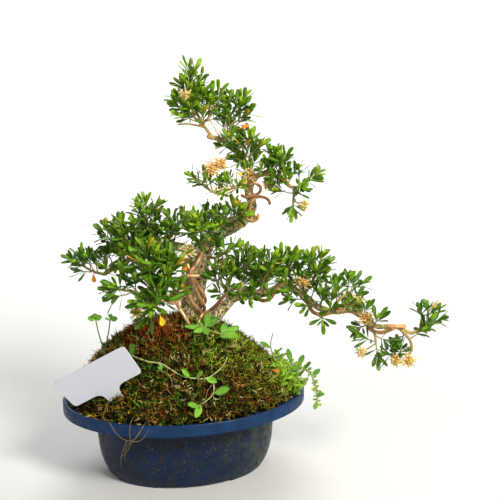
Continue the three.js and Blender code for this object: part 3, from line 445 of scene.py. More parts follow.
def add_leaf(parts, shape, root, along, face, length, width, colour, tip_colour=None, cup=0.16, arch=0.1):
    rows, faces = LEAF_SHAPES[shape]
    across_share, along_share, column, side = rows.T
    thickness = LEAF_THICKNESS * side * (1 - column**2) / 2
    is_rib = (column == 0) & (side == 1)
    height = (thickness - 0.3 * LEAF_THICKNESS * is_rib + cup * width / 2 * column**2 * np.sqrt(along_share)
              - arch * length * along_share**2)
    across = np.cross(along, face)
    points = (root + np.outer(across_share * width / 2, across) + np.outer(along_share * length, along)
              + np.outer(height, face))
    tip_colour = colour if tip_colour is None else tip_colour
    share = along_share[:, None]
    colours = colour * (1 - share) + tip_colour * share
    colours = np.where(is_rib[:, None], mix(colours, LEAF_RIB, 0.4), colours)
    colours = np.where((side < 0)[:, None], mix(colours, LEAF_UNDERSIDE, 0.6), colours)
    parts.add(points, faces, colours)


# Materials

class Surface:
    """A principled material and short ways to wire nodes into it."""

    def __init__(self, name, roughness, **fixed):
        self.material = bpy.data.materials.new(name)
        self.material.use_nodes = True
        self.tree = self.material.node_tree
        self.shader = self.tree.nodes["Principled BSDF"]
        self.shader.inputs["Roughness"].default_value = roughness
        for socket, value in fixed.items():
            self.shader.inputs[socket.replace("_", " ")].default_value = value
        self.place = self.node("ShaderNodeTexCoord").outputs["Object"]

    def node(self, kind):
        return self.tree.nodes.new(kind)

    def link(self, source, target):
        self.tree.links.new(source, target)

    def tint(self):
        attribute = self.node("ShaderNodeAttribute")
        attribute.attribute_name = "tint"
        return attribute.outputs["Color"]

    def noise(self, size, detail=3.0):
        """Noise with features about size millimetres wide."""
        texture = self.node("ShaderNodeTexNoise")
        texture.inputs["Scale"].default_value = 1 / (size * MM)
        texture.inputs["Detail"].default_value = detail
        self.link(self.place, texture.inputs["Vector"])
        return texture.outputs["Fac"]

    def cells(self, size, feature="F1"):
        texture = self.node("ShaderNodeTexVoronoi")
        texture.feature = feature
        texture.inputs["Scale"].default_value = 1 / (size * MM)
        self.link(self.place, texture.inputs["Vector"])
        return texture.outputs["Distance"]

    def ramp(self, source, *stops):
        """Grey levels or colours at places from 0 to 1."""
        ramp = self.node("ShaderNodeValToRGB")
        elements = ramp.color_ramp.elements
        while len(elements) < len(stops):
            elements.new(0.5)
        for element, (place, colour) in zip(elements, stops):
            grey = np.isscalar(colour)
            element.position = place
            element.color = (colour, colour, colour, 1) if grey else (*colour, 1)
        self.link(source, ramp.inputs["Fac"])
        return ramp.outputs["Color"]

    def mixed(self, share, first, second, mode="MIX"):
        node = self.node("ShaderNodeMix")
        node.data_type = "RGBA"
        node.blend_type = mode
        sockets = (node.inputs[0], node.inputs[6], node.inputs[7])
        for socket, value in zip(sockets, (share, first, second)):
            if isinstance(value, bpy.types.NodeSocket):
                self.link(value, socket)
            elif np.isscalar(value):
                socket.default_value = value
            else:
                socket.default_value = (*value, 1)
        return node.outputs[2]

    def product(self, *sources):
        result = sources[0]
        for source in sources[1:]:
            result = self.mixed(1.0, result, source, "MULTIPLY")
        return result

    def span(self, source, start, end):
        """Levels from 0 where the source is start millimetres to 1 where it is end millimetres."""
        span = self.node("ShaderNodeMapRange")
        span.inputs["From Min"].default_value = start * MM
        span.inputs["From Max"].default_value = end * MM
        self.link(source, span.inputs["Value"])
        return span.outputs["Result"]

    def oval_radius(self, start, end):
        """Levels from 0 to 1 between two radii of the pot's oval."""
        mapping = self.node("ShaderNodeMapping")
        mapping.inputs["Scale"].default_value = (1, 1 / POT_RATIO, 0)
        self.link(self.place, mapping.inputs["Vector"])
        length = self.node("ShaderNodeVectorMath")
        length.operation = "LENGTH"
        self.link(mapping.outputs["Vector"], length.inputs[0])
        return self.span(length.outputs["Value"], start, end)

    def along(self, axis, start, end):
        """Levels from 0 to 1 between two places on an axis."""
        parts = self.node("ShaderNodeSeparateXYZ")
        self.link(self.place, parts.inputs[0])
        return self.span(parts.outputs[axis], start, end)

    def colour(self, source):
        self.link(source, self.shader.inputs["Base Color"])

    def roughness(self, source):
        self.link(source, self.shader.inputs["Roughness"])

    def bump(self, source, depth):
        node = self.node("ShaderNodeBump")
        node.inputs["Strength"].default_value = 1
        node.inputs["Distance"].default_value = depth * MM
        self.link(source, node.inputs["Height"])
        self.link(node.outputs["Normal"], self.shader.inputs["Normal"])

    def mottled(self, source, *stops):
        """The tint of each vertex times grey levels that follow a texture."""
        self.colour(self.product(self.tint(), self.ramp(source, *stops)))


def leaf_surface():
    surface = Surface("leaf_gloss", 0.4, Specular_IOR_Level=0.17)
    surface.mottled(surface.noise(2.2), (0.3, 0.72), (0.7, 1.15))
    surface.roughness(surface.ramp(surface.noise(1.4), (0.3, 0.34), (0.75, 0.52)))
    surface.bump(surface.noise(0.9), 0.05)
    return surface.material


def weed_surface():
    surface = Surface("weed_leaf", 0.5, Specular_IOR_Level=0.25)
    surface.mottled(surface.noise(1.8), (0.3, 0.75), (0.7, 1.15))
    surface.bump(surface.noise(0.7), 0.06)
    return surface.material


def bark_surface():
    surface = Surface("bark", 0.9, Specular_IOR_Level=0.15)
    fine = surface.noise(0.5, 4.0)
    surface.mottled(fine, (0.36, 0.3), (0.46, 1.0), (0.66, 1.15))
    cracks = surface.ramp(surface.cells(0.9, "DISTANCE_TO_EDGE"), (0.0, 0.0), (0.25, 1.0))
    surface.bump(surface.mixed(0.5, fine, cracks), 0.3)
    return surface.material


def twig_surface():
    surface = Surface("twig_bark", 0.78)
    surface.mottled(surface.noise(0.7), (0.3, 0.5), (0.7, 1.25))
    surface.bump(surface.noise(0.5), 0.14)
    return surface.material


def wire_surface():
    surface = Surface("copper_wire", 0.38, Metallic=0.5)
    surface.mottled(surface.noise(3.0, 4.0), (0.34, 0.5), (0.5, 0.9), (0.68, 1.3))
    surface.roughness(surface.ramp(surface.noise(0.8), (0.3, 0.28), (0.75, 0.52)))
    surface.bump(surface.noise(0.35), 0.03)
    return surface.material


def flower_surface():
    surface = Surface("stamens", 0.6, Specular_IOR_Level=0.2)
    surface.mottled(surface.noise(0.8), (0.3, 0.8), (0.7, 1.12))
    return surface.material


def moss_surface():
    surface = Surface("moss", 0.8, Specular_IOR_Level=0.08)
    surface.mottled(surface.noise(0.6, 4.0), (0.3, 0.35), (0.7, 1.2))
    surface.bump(surface.noise(0.4), 0.2)
    return surface.material


def soil_surface():
    surface = Surface("soil", 0.95, Specular_IOR_Level=0.1)
    surface.colour(surface.ramp(surface.noise(1.5, 5.0), *SOIL_SHADES))
    surface.bump(surface.noise(1.2, 5.0), 0.6)
    return surface.material


def pot_surface():
    """Navy body darkened by painted shade under the overhanging rim, dark ledge and brighter rim band, with
    dirt, pale specks and a green film.
    """
    surface = Surface("blue_plastic", 0.42, Specular_IOR_Level=0.2)
    cloud = surface.ramp(surface.noise(12, 5.0), (0.3, 0.72), (0.7, 1.2))
    below = surface.along("Z", 47, 44)
    top = surface.mixed(surface.oval_radius(81.9, 83), POT_LEDGE, POT_BAND)
    # Below the skirt the body takes the darker blue: painted shade under the rim.
    blue = surface.product(surface.mixed(surface.along("Z", 46, 48), POT_BODY_SHADED, top), cloud)
    grime = surface.ramp(surface.noise(3.6, 7.0), (0.44, 0.0), (0.66, 0.75))
    dusty = surface.mixed(surface.product(grime, below), blue, POT_DIRT)
    film = surface.ramp(surface.noise(6, 6.0), (0.42, 0.0), (0.66, 0.75))
    green = surface.mixed(surface.product(film, surface.along("X", 15, 62), below), dusty, POT_FILM)
    specks = surface.ramp(surface.cells(2.4), (0.0, 0.9), (0.12, 0.6), (0.2, 0.0))
    patchy = surface.ramp(surface.noise(7.0), (0.46, 0.0), (0.6, 1.0))
    surface.colour(surface.mixed(surface.product(specks, patchy, below), green, POT_SPECKS))
    surface.roughness(surface.ramp(grime, (0.0, 0.36), (0.8, 0.7)))
    surface.bump(surface.noise(1.1, 5.0), 0.07)
    return surface.material


def label_surface():
    surface = Surface("white_plastic", 0.38)
    stain = surface.ramp(surface.noise(7, 5.0), (0.45, 0.0), (0.75, 0.35))
    soiled = surface.product(stain, surface.along("Z", 72, 54))
    surface.colour(surface.mixed(soiled, LABEL_WHITE, LABEL_STAIN))
    surface.bump(surface.noise(3.0), 0.02)
    return surface.material


SURFACES = {
    "leaf": leaf_surface(),
    "weed": weed_surface(),
    "bark": bark_surface(),
    "twig": twig_surface(),
    "wire": wire_surface(),
    "flower": flower_surface(),
    "moss": moss_surface(),
    "soil": soil_surface(),
    "pot": pot_surface(),
    "label": label_surface(),
}


# Pot: a profile with softened corners, lathed and squeezed to an oval, then cut

POT_SIDES = 132
POT_SHARP_ANGLE = math.radians(38)


def pot_profile():
    """Corners of radius, height and how far each is rounded."""
    inner = BODY_TOP_RADIUS - WALL
    top = POT_HEIGHT
    return [
        (BODY_FOOT_RADIUS - 9, FLOOR_UNDERSIDE, 0.4),
        (BODY_FOOT_RADIUS - 8.5, 0, 0.4),
        (BODY_FOOT_RADIUS - 0.5, 0, 0.8),
        (BODY_FOOT_RADIUS + 3, 6, 3),
        (BODY_FOOT_RADIUS + 6, 15, 4),
        (BODY_TOP_RADIUS - 0.5, 30, 6),
        (BODY_TOP_RADIUS + 0.2, top - 7, 1.5),
        (BODY_TOP_RADIUS + 2.6, top - 5.3, 1),
        (RIM_RADIUS - 1.8, top - 3.6, 0.4),
        (RIM_RADIUS - 1.6, top - SKIRT_DROP, 0.4),
        (RIM_RADIUS, top - SKIRT_DROP, 0.4),
        (RIM_RADIUS, top, 0.9),
        (RIM_RADIUS - 2.4, top, 0.6),
        (*LEDGE_OUTER, 0.8),
        (*LEDGE_INNER, 1.2),
        (inner, top - 4.6, 1),
        (inner - 0.5, 30, 6),
        (BODY_FOOT_RADIUS + 4, 15, 4),
        (BODY_FOOT_RADIUS - 2, FLOOR_TOP, 2),
    ]


def softened(corners):
    """The profile with each corner replaced by a short curve."""
    start, end = np.array((0, FLOOR_UNDERSIDE)), np.array((0, FLOOR_TOP))
    places = [start, *(np.array(row[:2], float) for row in corners), end]
    line = [start]
    for i, (_, _, soft) in enumerate(corners, start=1):
        here = places[i]
        back = places[i - 1] - here
        onward = places[i + 1] - here
        enter = here + back * min(soft / np.linalg.norm(back), 0.45)
        leave = here + onward * min(soft / np.linalg.norm(onward), 0.45)
        line += [bent(enter, here, leave, share) for share in (0, 0.33, 0.67, 1)]
    line.append(end)
    return line


def lathed(profile, sides):
    """Points and faces of a closed oval lathe; the profile starts and ends on the axis."""
    inner = profile[1:-1]
    points = [(0, 0, profile[0][1]), (0, 0, profile[-1][1])]
    for radius, z in inner:
        points += [(radius * math.cos(angle), radius * POT_RATIO * math.sin(angle), z)
                   for angle in ring_angles(sides)]
    return points, closed_faces(len(inner), sides)


def cutter(name, points, faces):
    parts = Parts()
    parts.add(points, faces, (0, 0, 0))
    return parts.build(name, SURFACES["pot"])


def box_faces(width, depth, height):
    x, y, z = width / 2, depth / 2, height / 2
    points = [(a, b, c) for c in (-z, z) for a, b in ((-x, -y), (x, -y), (x, y), (-x, y))]
    sides = [(i, (i + 1) % 4, (i + 1) % 4 + 4, i + 4) for i in range(4)]
    return points, [(3, 2, 1, 0), (4, 5, 6, 7), *sides]


def post_faces(radius, low, high, x, sides=48):
    ring = [(x + radius * math.cos(angle), radius * math.sin(angle)) for angle in ring_angles(sides)]
    points = [(*place, low) for place in ring] + [(*place, high) for place in ring]
    walls = [(i, (i + 1) % sides, (i + 1) % sides + sides, i + sides) for i in range(sides)]
    return points, [tuple(reversed(range(sides))), tuple(range(sides, 2 * sides)), *walls]


def combine(piece, other, operation):
    join = piece.modifiers.new(other.name, "BOOLEAN")
    join.operation = operation
    join.object = other
    join.solver = "EXACT"
    applied(piece)
    bpy.data.objects.remove(other)


def make_pot():
    parts = Parts()
    parts.add(*lathed(softened(pot_profile()), POT_SIDES), (0, 0, 0))
    pot = parts.build("pot_body", SURFACES["pot"])
    across = box_faces(FOOT_NOTCH_WIDE, POT_LENGTH, 2 * FLOOR_UNDERSIDE)
    along = box_faces(POT_LENGTH, FOOT_NOTCH_DEEP, 2 * FLOOR_UNDERSIDE)
    combine(pot, cutter("notch_across", *across), "DIFFERENCE")
    combine(pot, cutter("notch_along", *along), "DIFFERENCE")
    boss = post_faces(BOSS_RADIUS, 0, (FLOOR_UNDERSIDE + FLOOR_TOP) / 2, 0)
    combine(pot, cutter("boss", *boss), "UNION")
    for side in (-1, 1):
        drain = post_faces(DRAIN_RADIUS, -1, FLOOR_TOP + 1, side * DRAIN_OFFSET)
        combine(pot, cutter("drain", *drain), "DIFFERENCE")
    pot.data.shade_smooth()
    pot.data.set_sharp_from_angle(angle=POT_SHARP_ANGLE)
    dress(pot, "pot", "pot")


# Mound: soil under a mat of moss, fuller on its left flank than on its right

def mound_point(share, angle):
    rise = MOUND_TOP_Z - MOSS_EDGE_Z
    fullness = MOUND_FULLNESS - MOUND_LEFT_BULGE * np.cos(angle)
    x = MOUND_PEAK[0] * (1 - share) + MOSS_EDGE[0] * np.cos(angle) * share
    y = MOUND_PEAK[1] * (1 - share) + MOSS_EDGE[1] * np.sin(angle) * share
    z = MOSS_EDGE_Z + rise * (1 - share**fullness)
    waves = np.sin(x * 0.31 + 1) * np.cos(y * 0.37) + 0.6 * np.sin(x * 0.17 + y * 0.23 + 2)
    z = z + MOSS_RELIEF * waves * np.sin(math.pi * np.minimum(share + 0.15, 1))
    return np.stack(np.broadcast_arrays(x, y, z), axis=-1)


def moss_height(x, y):
    dx, dy = (x - MOUND_PEAK[0]) / MOSS_EDGE[0], (y - MOUND_PEAK[1]) / MOSS_EDGE[1]
    px, py = MOUND_PEAK[0] / MOSS_EDGE[0], MOUND_PEAK[1] / MOSS_EDGE[1]
    a = dx * dx + dy * dy
    b = 2 * (px * dx + py * dy)
    c = px * px + py * py - 1
    stretch = (math.sqrt(b * b - 4 * a * c) - b) / (2 * a)
    return float(mound_point(min(1 / stretch, 1), math.atan2(py + stretch * dy, px + stretch * dx))[2])


# Patches of the moss: place on the mound, reach, colour and how strongly it shows

MOSS_PATCHES = (
    ((-26, -6), 13, MOSS_RUST, 0.95),
    ((-10, -13), 9, MOSS_RUST, 0.75),
    ((-52, -38), 11, MOSS_ORANGE, 0.55),
    ((-22, -48), 10, MOSS_ORANGE, 0.4),
    ((-34, -36), 11, MOSS_GREEN, 0.45),
    ((-42, -28), 8, MOSS_BLACK, 0.75),
    ((-8, -46), 9, MOSS_GREEN, 0.35),
    ((8, -25), 8, MOSS_GREEN, 0.6),
    ((18, -27), 9, MOSS_BRIGHT, 0.75),
    ((34, -12), 11, MOSS_BRIGHT, 0.85),
    ((50, -14), 9, MOSS_GREEN, 0.6),
    ((66, -18), 12, MOSS_BRIGHT, 0.7),
    ((44, -34), 11, MOSS_OLIVE, 0.7),
    ((40, 26), 20, MOSS_GREEN, 0.6),
    ((-30, 30), 18, MOSS_OLIVE, 0.6),
)
MOSS_MIX = (MOSS_BROWN, MOSS_BLACK, MOSS_ORANGE, MOSS_OLIVE, MOSS_BROWN, MOSS_GREEN, MOSS_RUST, MOSS_BROWN,
            MOSS_OLIVE, MOSS_STRAW)


def moss_colour(place, draw):
    """A colour for a strand: a patch's own colour near its middle, else one of the common mix."""
    for centre, reach, colour, strength in MOSS_PATCHES:
        distance = math.hypot(place[0] - centre[0], place[1] - centre[1])
        if draw.random() < strength * math.exp(-(distance / reach)**2):
            return colour * draw.uniform(0.35, 1.3)
    drift = 3.0 * grain(place, 11) + draw.uniform(0, len(MOSS_MIX))
    return MOSS_MIX[int(drift) % len(MOSS_MIX)] * draw.uniform(0.35, 1.35)


def moss_lump(place, share):
    """Small cushions in the moss, fading out towards its edge."""
    fade = clamped((1 - share) * 8)
    return fade * MOSS_LUMPS * (grain(place, 7.5, 11.0) + 0.5 * grain(place, 3.4, 7.0))


MAT_SIDES = 132
MAT_RINGS = 52
UNDERSIDE_SHARES = (0.95, 0.8, 0.6, 0.4, 0.2, 0.04)


def make_moss_mat():
    """A closed shell: the bumpy top of the moss, and an underside along the soil, nearly black as painted
    shade under the strands.
    """
    angles = ring_angles(MAT_SIDES)
    top = []
    for share in np.linspace(0.02, 1, MAT_RINGS):
        ring = mound_point(share, angles)
        for place in ring:
            place[2] += moss_lump(place, share) + 0.25 * grain(place, 1.1, 5.0)
        top.append(ring)
    bottom = []
    for share in UNDERSIDE_SHARES:
        ring = mound_point(share, angles)
        ring[:, 2] = np.maximum(ring[:, 2] - MOSS_THICKNESS, MOSS_EDGE_FLOOR)
        bottom.append(ring)
    peak = mound_point(0.0, 0.0)
    points = np.vstack((peak, peak - UP * MOSS_THICKNESS, *top, *bottom))
    faces = flipped(closed_faces(len(top) + len(bottom), MAT_SIDES))
    draw = random.Random("moss mat")
    # The mat is mixed nearly to black: painted shade in the depths of the moss, under its strands.
    colours = [mix(moss_colour(place, draw), MOSS_BLACK, 0.93) for place in points]
    parts = Parts()
    parts.add(points, faces, np.array(colours))
    dress(parts.build("moss_mat", SURFACES["moss"]), "moss", "moss")


def strand_rings(root, lean, bow, length, width, rng):
    """Corners of three-sided strands, each bent at its middle and drawn to a point."""
    across = np.cross(lean, rng.normal(size=lean.shape))
    across /= np.linalg.norm(across, axis=1)[:, None]
    upward = np.cross(lean, across)
    middle = root + lean * length[:, None] * 0.55 + bow * length[:, None] * 0.08
    corners = []
    for centre, size in ((root, 1.0), (middle, 0.85)):
        for angle in ring_angles(3):
            around = math.cos(angle) * across + math.sin(angle) * upward
            corners.append(centre + size * width[:, None] / 2 * around)
    corners.append(root + lean * length[:, None] * 0.92 + bow * length[:, None] * 0.42)
    return np.stack(corners, axis=1)


STRAND_FACES = ((2, 1, 0), (0, 1, 4, 3), (1, 2, 5, 4), (2, 0, 3, 5), (3, 4, 6), (4, 5, 6), (5, 3, 6))
RUST_PATCH = (-24, -8)
RUST_REACH = 13
RUST_EXTRA_LENGTH = 0.9
STRAND_LENGTH = (2.0, 4.6)
LONG_STRANDS = 0.06
LONG_STRAND_EXTRA = 0.35
TUFT_REACH = 1.012
TUFT_CROWDING = 0.49
TUFT_SPREAD = 0.7
TUFT_DEPTH = 0.6
STRAND_SPREAD = 0.32
STRAND_WIDTH = (0.58, 1.06)
# Brightness at a strand's corners: the root darkened as painted shade in the moss, the tip lightened partly
# as the moss's paler tips, partly as painted light.
STRAND_SHADE_AND_LIGHT = (0.1, 0.1, 0.1, 0.9, 0.9, 0.9, 1.5)


def make_moss_tufts(name, count, seed):
    """Short curved strands standing out of the moss, in small tufts of one colour."""
    rng = np.random.default_rng(seed)
    draw = random.Random(name)
    tufts = count // STRANDS_A_TUFT
    share = TUFT_REACH * rng.uniform(0.0004, 1, tufts)**TUFT_CROWDING
    angle = rng.uniform(0, 2 * math.pi, tufts)
    place = mound_point(share, angle)
    outward = mound_point(share + 0.004, angle) - place
    around = mound_point(share, angle + 0.01) - place
    normal = np.cross(outward, around)
    normal /= np.linalg.norm(normal, axis=1)[:, None]
    place[:, 2] += [moss_lump(spot, part) for spot, part in zip(place, share)]
    colours = np.array([moss_colour(spot, draw) for spot in place])
    tuft_lean = normal * 0.8 + rng.normal(size=(tufts, 3)) * 0.5 + UP * 0.2
    of_tufts = (place, normal, colours, tuft_lean)
    place, normal, colours, lean = (np.repeat(rows, STRANDS_A_TUFT, axis=0) for rows in of_tufts)
    total = tufts * STRANDS_A_TUFT
    lean = lean + rng.normal(size=(total, 3)) * STRAND_SPREAD
    lean /= np.linalg.norm(lean, axis=1)[:, None]
    bow = rng.normal(size=(total, 3))
    length = rng.uniform(*STRAND_LENGTH, total)
    length *= 1 + LONG_STRAND_EXTRA * (rng.random(total) > 1 - LONG_STRANDS)
    width = rng.uniform(*STRAND_WIDTH, total)
    to_rust = np.hypot(place[:, 0] - RUST_PATCH[0], place[:, 1] - RUST_PATCH[1])
    length *= 1 + RUST_EXTRA_LENGTH * np.exp(-(to_rust / RUST_REACH)**2)
    root = place + rng.normal(size=(total, 3)) * TUFT_SPREAD - normal * TUFT_DEPTH
    colours = colours * rng.uniform(0.75, 1.25, (total, 1))
    corners = strand_rings(root, lean, bow, length, width, rng)
    # Each strand darkens at its root as painted shade and lightens at its tip, partly as painted light.
    shade_and_light = np.array(STRAND_SHADE_AND_LIGHT)[None, :, None]
    faces = [tuple(7 * i + k for k in face) for i in range(total) for face in STRAND_FACES]
    parts = Parts()
    parts.add(corners.reshape(-1, 3), faces, (colours[:, None, :] * shade_and_light).reshape(-1, 3))
    dress(parts.build(name, SURFACES["moss"]), "moss")


# Wood: rows of x, y, z and radius

TRUNK = Limb([
    (5, 7, 88, 6),
    (6, 7, 106, 7.2),
    (7, 5, 119, 7.3),
    (10, 2, 134, 7.5),
    (12, 0, 148, 7.8),
    (15.5, -1, 158, 6.2),
    (23, 0, 166, 4.8),
    (35, -2, 171, 4.2),
    (45, -6, 179, 3.6),
    (48, -9, 187, 3.1),
    (46, -8, 196, 2.9),
    (47, -9, 203, 2.6),
    (45, -6, 212, 2.4),
    (41, -5, 221, 2.2),
    (35, -6, 226, 2.1),
    (29, -7, 231, 1.9),
    (19, -7, 234, 1.6),
])

LEFT_ARM = Limb([
    (11, 1, 152, 4.2),
    (2, 4, 157, 3.2),
    (-8, 10, 158, 2.8),
    (-20, 16, 154, 2.4),
    (-31, 22, 148, 2),
    (-42, 26, 142, 1.8),
    (-52, 30, 135, 1.4),
])

LEFT_LOW_BRANCH = Limb([
    (8, 1, 126, 3.6),
    (-3, -5, 127, 2.9),
    (-11, -12, 126.5, 2.4),
    (-18, -17, 128, 2),
    (-26, -20, 131, 1.5),
])

RIGHT_SHELF = Limb([
    (47, -9, 200, 2.2),
    (51, -11, 207, 2),
    (58, -16, 209, 1.8),
    (65, -21, 206, 1.6),
    (71, -25, 201, 1.3),
])

LEFT_SHELF = Limb([
    (46, -9, 198, 1.8),
    (39, -13, 201, 1.5),
    (31, -16, 198, 1.3),
    (24, -17, 197, 1.1),
])

CASCADE = Limb([
    (7, 5, 96, 4.6),
    (12, -2, 104, 4.6),
    (20, -8, 109, 4.2),
    (26, -11, 116, 3.8),
    (34, -14, 125, 3.4),
    (44, -20, 128, 3.1),
    (56, -25, 130, 2.8),
    (66, -30, 135, 2.6),
    (80, -37, 127, 2.3),
    (86, -41, 122, 2.2),
    (96, -46, 120, 2),
    (106, -50, 121, 1.9),
    (120, -58, 112, 1.7),
    (132, -62, 112, 1.5),
    (143, -63, 107, 1.2),
])

WOOD = (TRUNK, LEFT_ARM, LEFT_LOW_BRANCH, RIGHT_SHELF, LEFT_SHELF, CASCADE)
CRACK_WIDTH = 0.085
WIDE_CRACKS = (3.2, 9.0)
FINE_CRACKS = (1.7, 15.0)
LIMB_SIDES = 20
LIMB_STEP = 1.2
SMOOTHING_ROUNDS = 5
THIN_RADIUS = 1.4
THIN_FADE = 1.6
LICHEN_TOP = 128
LICHEN_LEFT = 8


def crack(place, size, offset):
    """1 along the middle of a crack and 0 away from it; cracks run mostly upwards."""
    across = grain((place[0], place[1], place[2] * 0.55), size, offset)
    return math.exp(-(across / CRACK_WIDTH)**2)


def bark_relief(place, radius):
    """How far the bark stands proud, with knots, plates and cracks, less on thin wood."""
    lumps = 0.55 * grain(place, 5.5) + 0.4 * grain(place, 2.4, 3.0)
    cracks = 0.75 * crack(place, *WIDE_CRACKS) + 0.5 * crack(place, *FINE_CRACKS)
    return min(radius / 6, 1) * (1.1 * lumps + 0.25 - cracks)


def bark_colour(place, radius):
    colour = mix(BARK_PLATE, BARK_CREAM, clamped(0.45 + 1.8 * grain(place, 3.0, 20.0)))
    colour = mix(THIN_BARK, colour, clamped((radius - THIN_RADIUS) / THIN_FADE))
    lowness = clamped((LICHEN_TOP - place[2]) / 30) * clamped((place[0] - LICHEN_LEFT) / 8)
    lichen = clamped(0.5 * lowness - 0.08 + 1.4 * grain(place, 5.5, 40.0), 0.9)
    colour = mix(colour, BARK_LICHEN, lichen)
    # Cracks and pits darken the bark: partly its own dark fissures, partly painted shade in these recesses.
    cracked = max(crack(place, *WIDE_CRACKS), 0.8 * crack(place, *FINE_CRACKS))
    pits_and_shade = max(2.6 * grain(place, 1.3, 60.0) - 0.35, 0)
    return mix(colour, BARK_CREVICE_AND_SHADE, min(0.9 * cracked + pits_and_shade, 0.95) * min(radius / 3, 1))


def joined_limbs():
    """All limbs under one smooth skin."""
    parts = Parts()
    for limb in WOOD:
        add_tube(parts, limb, LIMB_SIDES, LIMB_STEP, BARK_PLATE)
    wood = parts.build("tree_wood", SURFACES["bark"])
    skin = wood.modifiers.new("skin", "REMESH")
    skin.mode = "VOXEL"
    skin.voxel_size = BARK_VOXEL * MM
    soften = wood.modifiers.new("soften", "SMOOTH")
    soften.factor = 0.5
    soften.iterations = SMOOTHING_ROUNDS
    return applied(wood)


def limb_centres():
    """A search tree of the points on the limbs' centre lines, and the radius at each."""
    places = np.vstack([limb.line for limb in WOOD])
    centres = kdtree.KDTree(len(places))
    for index, place in enumerate(places):
        centres.insert(place, index)
    centres.balance()
    return centres, np.concatenate([limb.radii for limb in WOOD])


def make_wood():
    wood = joined_limbs()
    centres, radii = limb_centres()
    mesh = wood.data
    colours = []
    moved = []
    for vertex in mesh.vertices:
        place = vertex.co / MM
        radius = radii[centres.find(place)[1]]
        moved.append(vertex.co + vertex.normal * bark_relief(place, radius) * MM)
        colours.append(bark_colour(place, radius))
    mesh.vertices.foreach_set("co", np.array(moved, np.float32).ravel())
    for old in list(mesh.color_attributes):
        mesh.color_attributes.remove(old)
    paint(mesh, np.array(colours))
    mesh.shade_smooth()
    dress(wood, "bark", "tree")


# Wires: some are wound round a limb, and all are pushed clear of every limb

def winding(limb, start_share, end_share, turns, start, clearance, per_turn):
    points = []
    count = math.ceil(abs(turns) * per_turn)
    for step in range(count + 1):
        share = start_share + (end_share - start_share) * step / count
        along = limb.tangent(share)
        front = unit(FRONT - along * FRONT.dot(along))
        right = np.cross(along, front)
        angle = start + turns * 2 * math.pi * step / count
        reach = limb.radius(share) + clearance
        points.append(limb.point(share) + reach * (front * math.cos(angle) + right * math.sin(angle)))
    return points


def pushed_clear(points, clearance):
    clear = []
    for point in points:
        place = np.array(point, float)
        for limb in WOOD:
            centre, radius, distance = limb.nearest(place)
            if distance < radius + clearance:
                place = centre + unit(place - centre) * (radius + clearance)
        clear.append(place)
    return clear


TRUNK_WIRE_CLEARANCE = TRUNK_WIRE_RADIUS + GAP + WIRE_STAND_OFF
BRANCH_WIRE_CLEARANCE = BRANCH_WIRE_RADIUS + GAP + WIRE_STAND_OFF
COIL_START = 0.08
COIL_END = 0.33
COIL_LEAD = 70
COIL_POINTS_A_TURN = 24
WINDING_POINTS_A_TURN = 9
WIRE_SIDES = 14
WIRE_STEP = 0.8


def trunk_coil(front_height, end=COIL_END):
    """A strand up the trunk that crosses its front at the height given."""
    bottom, top = TRUNK.point(COIL_START)[2], TRUNK.point(end)[2]
    start = 2 * math.pi * (front_height - bottom) / COIL_LEAD
    turns = (bottom - top) / COIL_LEAD
    return winding(TRUNK, COIL_START, end, turns, start, TRUNK_WIRE_CLEARANCE, COIL_POINTS_A_TURN)


TRUNK_WIRE_A_TOP = ((5, -11.5, 144), (8, -11.5, 148), (11, -10.5, 152), (14, -9, 158), (19, -7, 166))
LEFT_WIRE = (
    (4.5, -8.8, 103.5), (0, -8, 112), (-4, -3, 119), (-3.5, 5, 124), (4, 14, 128), (14, 12, 132),
    (20, 4, 137), (20.5, -5, 139), (13, -13, 141), (6.5, -14.5, 141.5), (0, -13.5, 141.5),
    (-4.5, -12, 138), (-7, -13.5, 133),
)
CASCADE_WIRE_FOOT = (
    (2, -14.5, 99.2), (8, -11, 105), (14, -6.5, 110.3), (18.5, -3.5, 113.5), (23, -5.5, 118),
    (28, -8.5, 124.5),
)
CROWN_HOOK = (
    (58, -20, 189), (57, -19.5, 192), (53, -19, 194), (50, -18.5, 194), (47, -18, 192),
    (45, -16.5, 188), (46, -15.5, 183), (50, -12, 179), (50, -4, 177), (46, -1, 180),
    (42, -3, 186), (39.5, -8, 190), (39.5, -12, 187), (40, -13.5, 183), (42.5, -15, 179.5),
    (46, -16.5, 177.5), (50, -17, 179), (51, -16, 182),
)
CROWN_LOOP = (
    (43, -2.5, 205.5), (41.5, -8.5, 206), (43.5, -14, 204.5), (48, -15.5, 203.5),
    (52.5, -15.5, 200), (52, -15, 196.5), (47.5, -15, 194.5), (43, -14, 193.5), (40.5, -11, 194.5),
)

WIRES = {
    # The wires round the trunk and along the low left branch take the paler copper: painted light.
    "wire_trunk_a": (TRUNK_WIRE_RADIUS, WIRE_COPPER_LIT, [*trunk_coil(131.8, 0.19), *TRUNK_WIRE_A_TOP]),
    "wire_trunk_b": (TRUNK_WIRE_RADIUS, WIRE_COPPER_LIT, trunk_coil(137.5)),
    "wire_trunk_c": (TRUNK_WIRE_RADIUS, WIRE_COPPER_LIT, trunk_coil(123)),
    "wire_left_branch": (TRUNK_WIRE_RADIUS, WIRE_COPPER_LIT, [
        *LEFT_WIRE,
        *winding(LEFT_LOW_BRANCH, 0.36, 0.97, -1.5, 0, TRUNK_WIRE_CLEARANCE, WINDING_POINTS_A_TURN),
    ]),
    "wire_cascade": (BRANCH_WIRE_RADIUS, WIRE_COPPER, [
        *CASCADE_WIRE_FOOT,
        *winding(CASCADE, 0.272, 0.96, -2.81, -2.16, BRANCH_WIRE_CLEARANCE, WINDING_POINTS_A_TURN),
    ]),
    "wire_crown_hook": (CROWN_WIRE_RADIUS, WIRE_COPPER, CROWN_HOOK),
    "wire_crown_loop": (CROWN_WIRE_RADIUS, WIRE_COPPER, CROWN_LOOP),
}


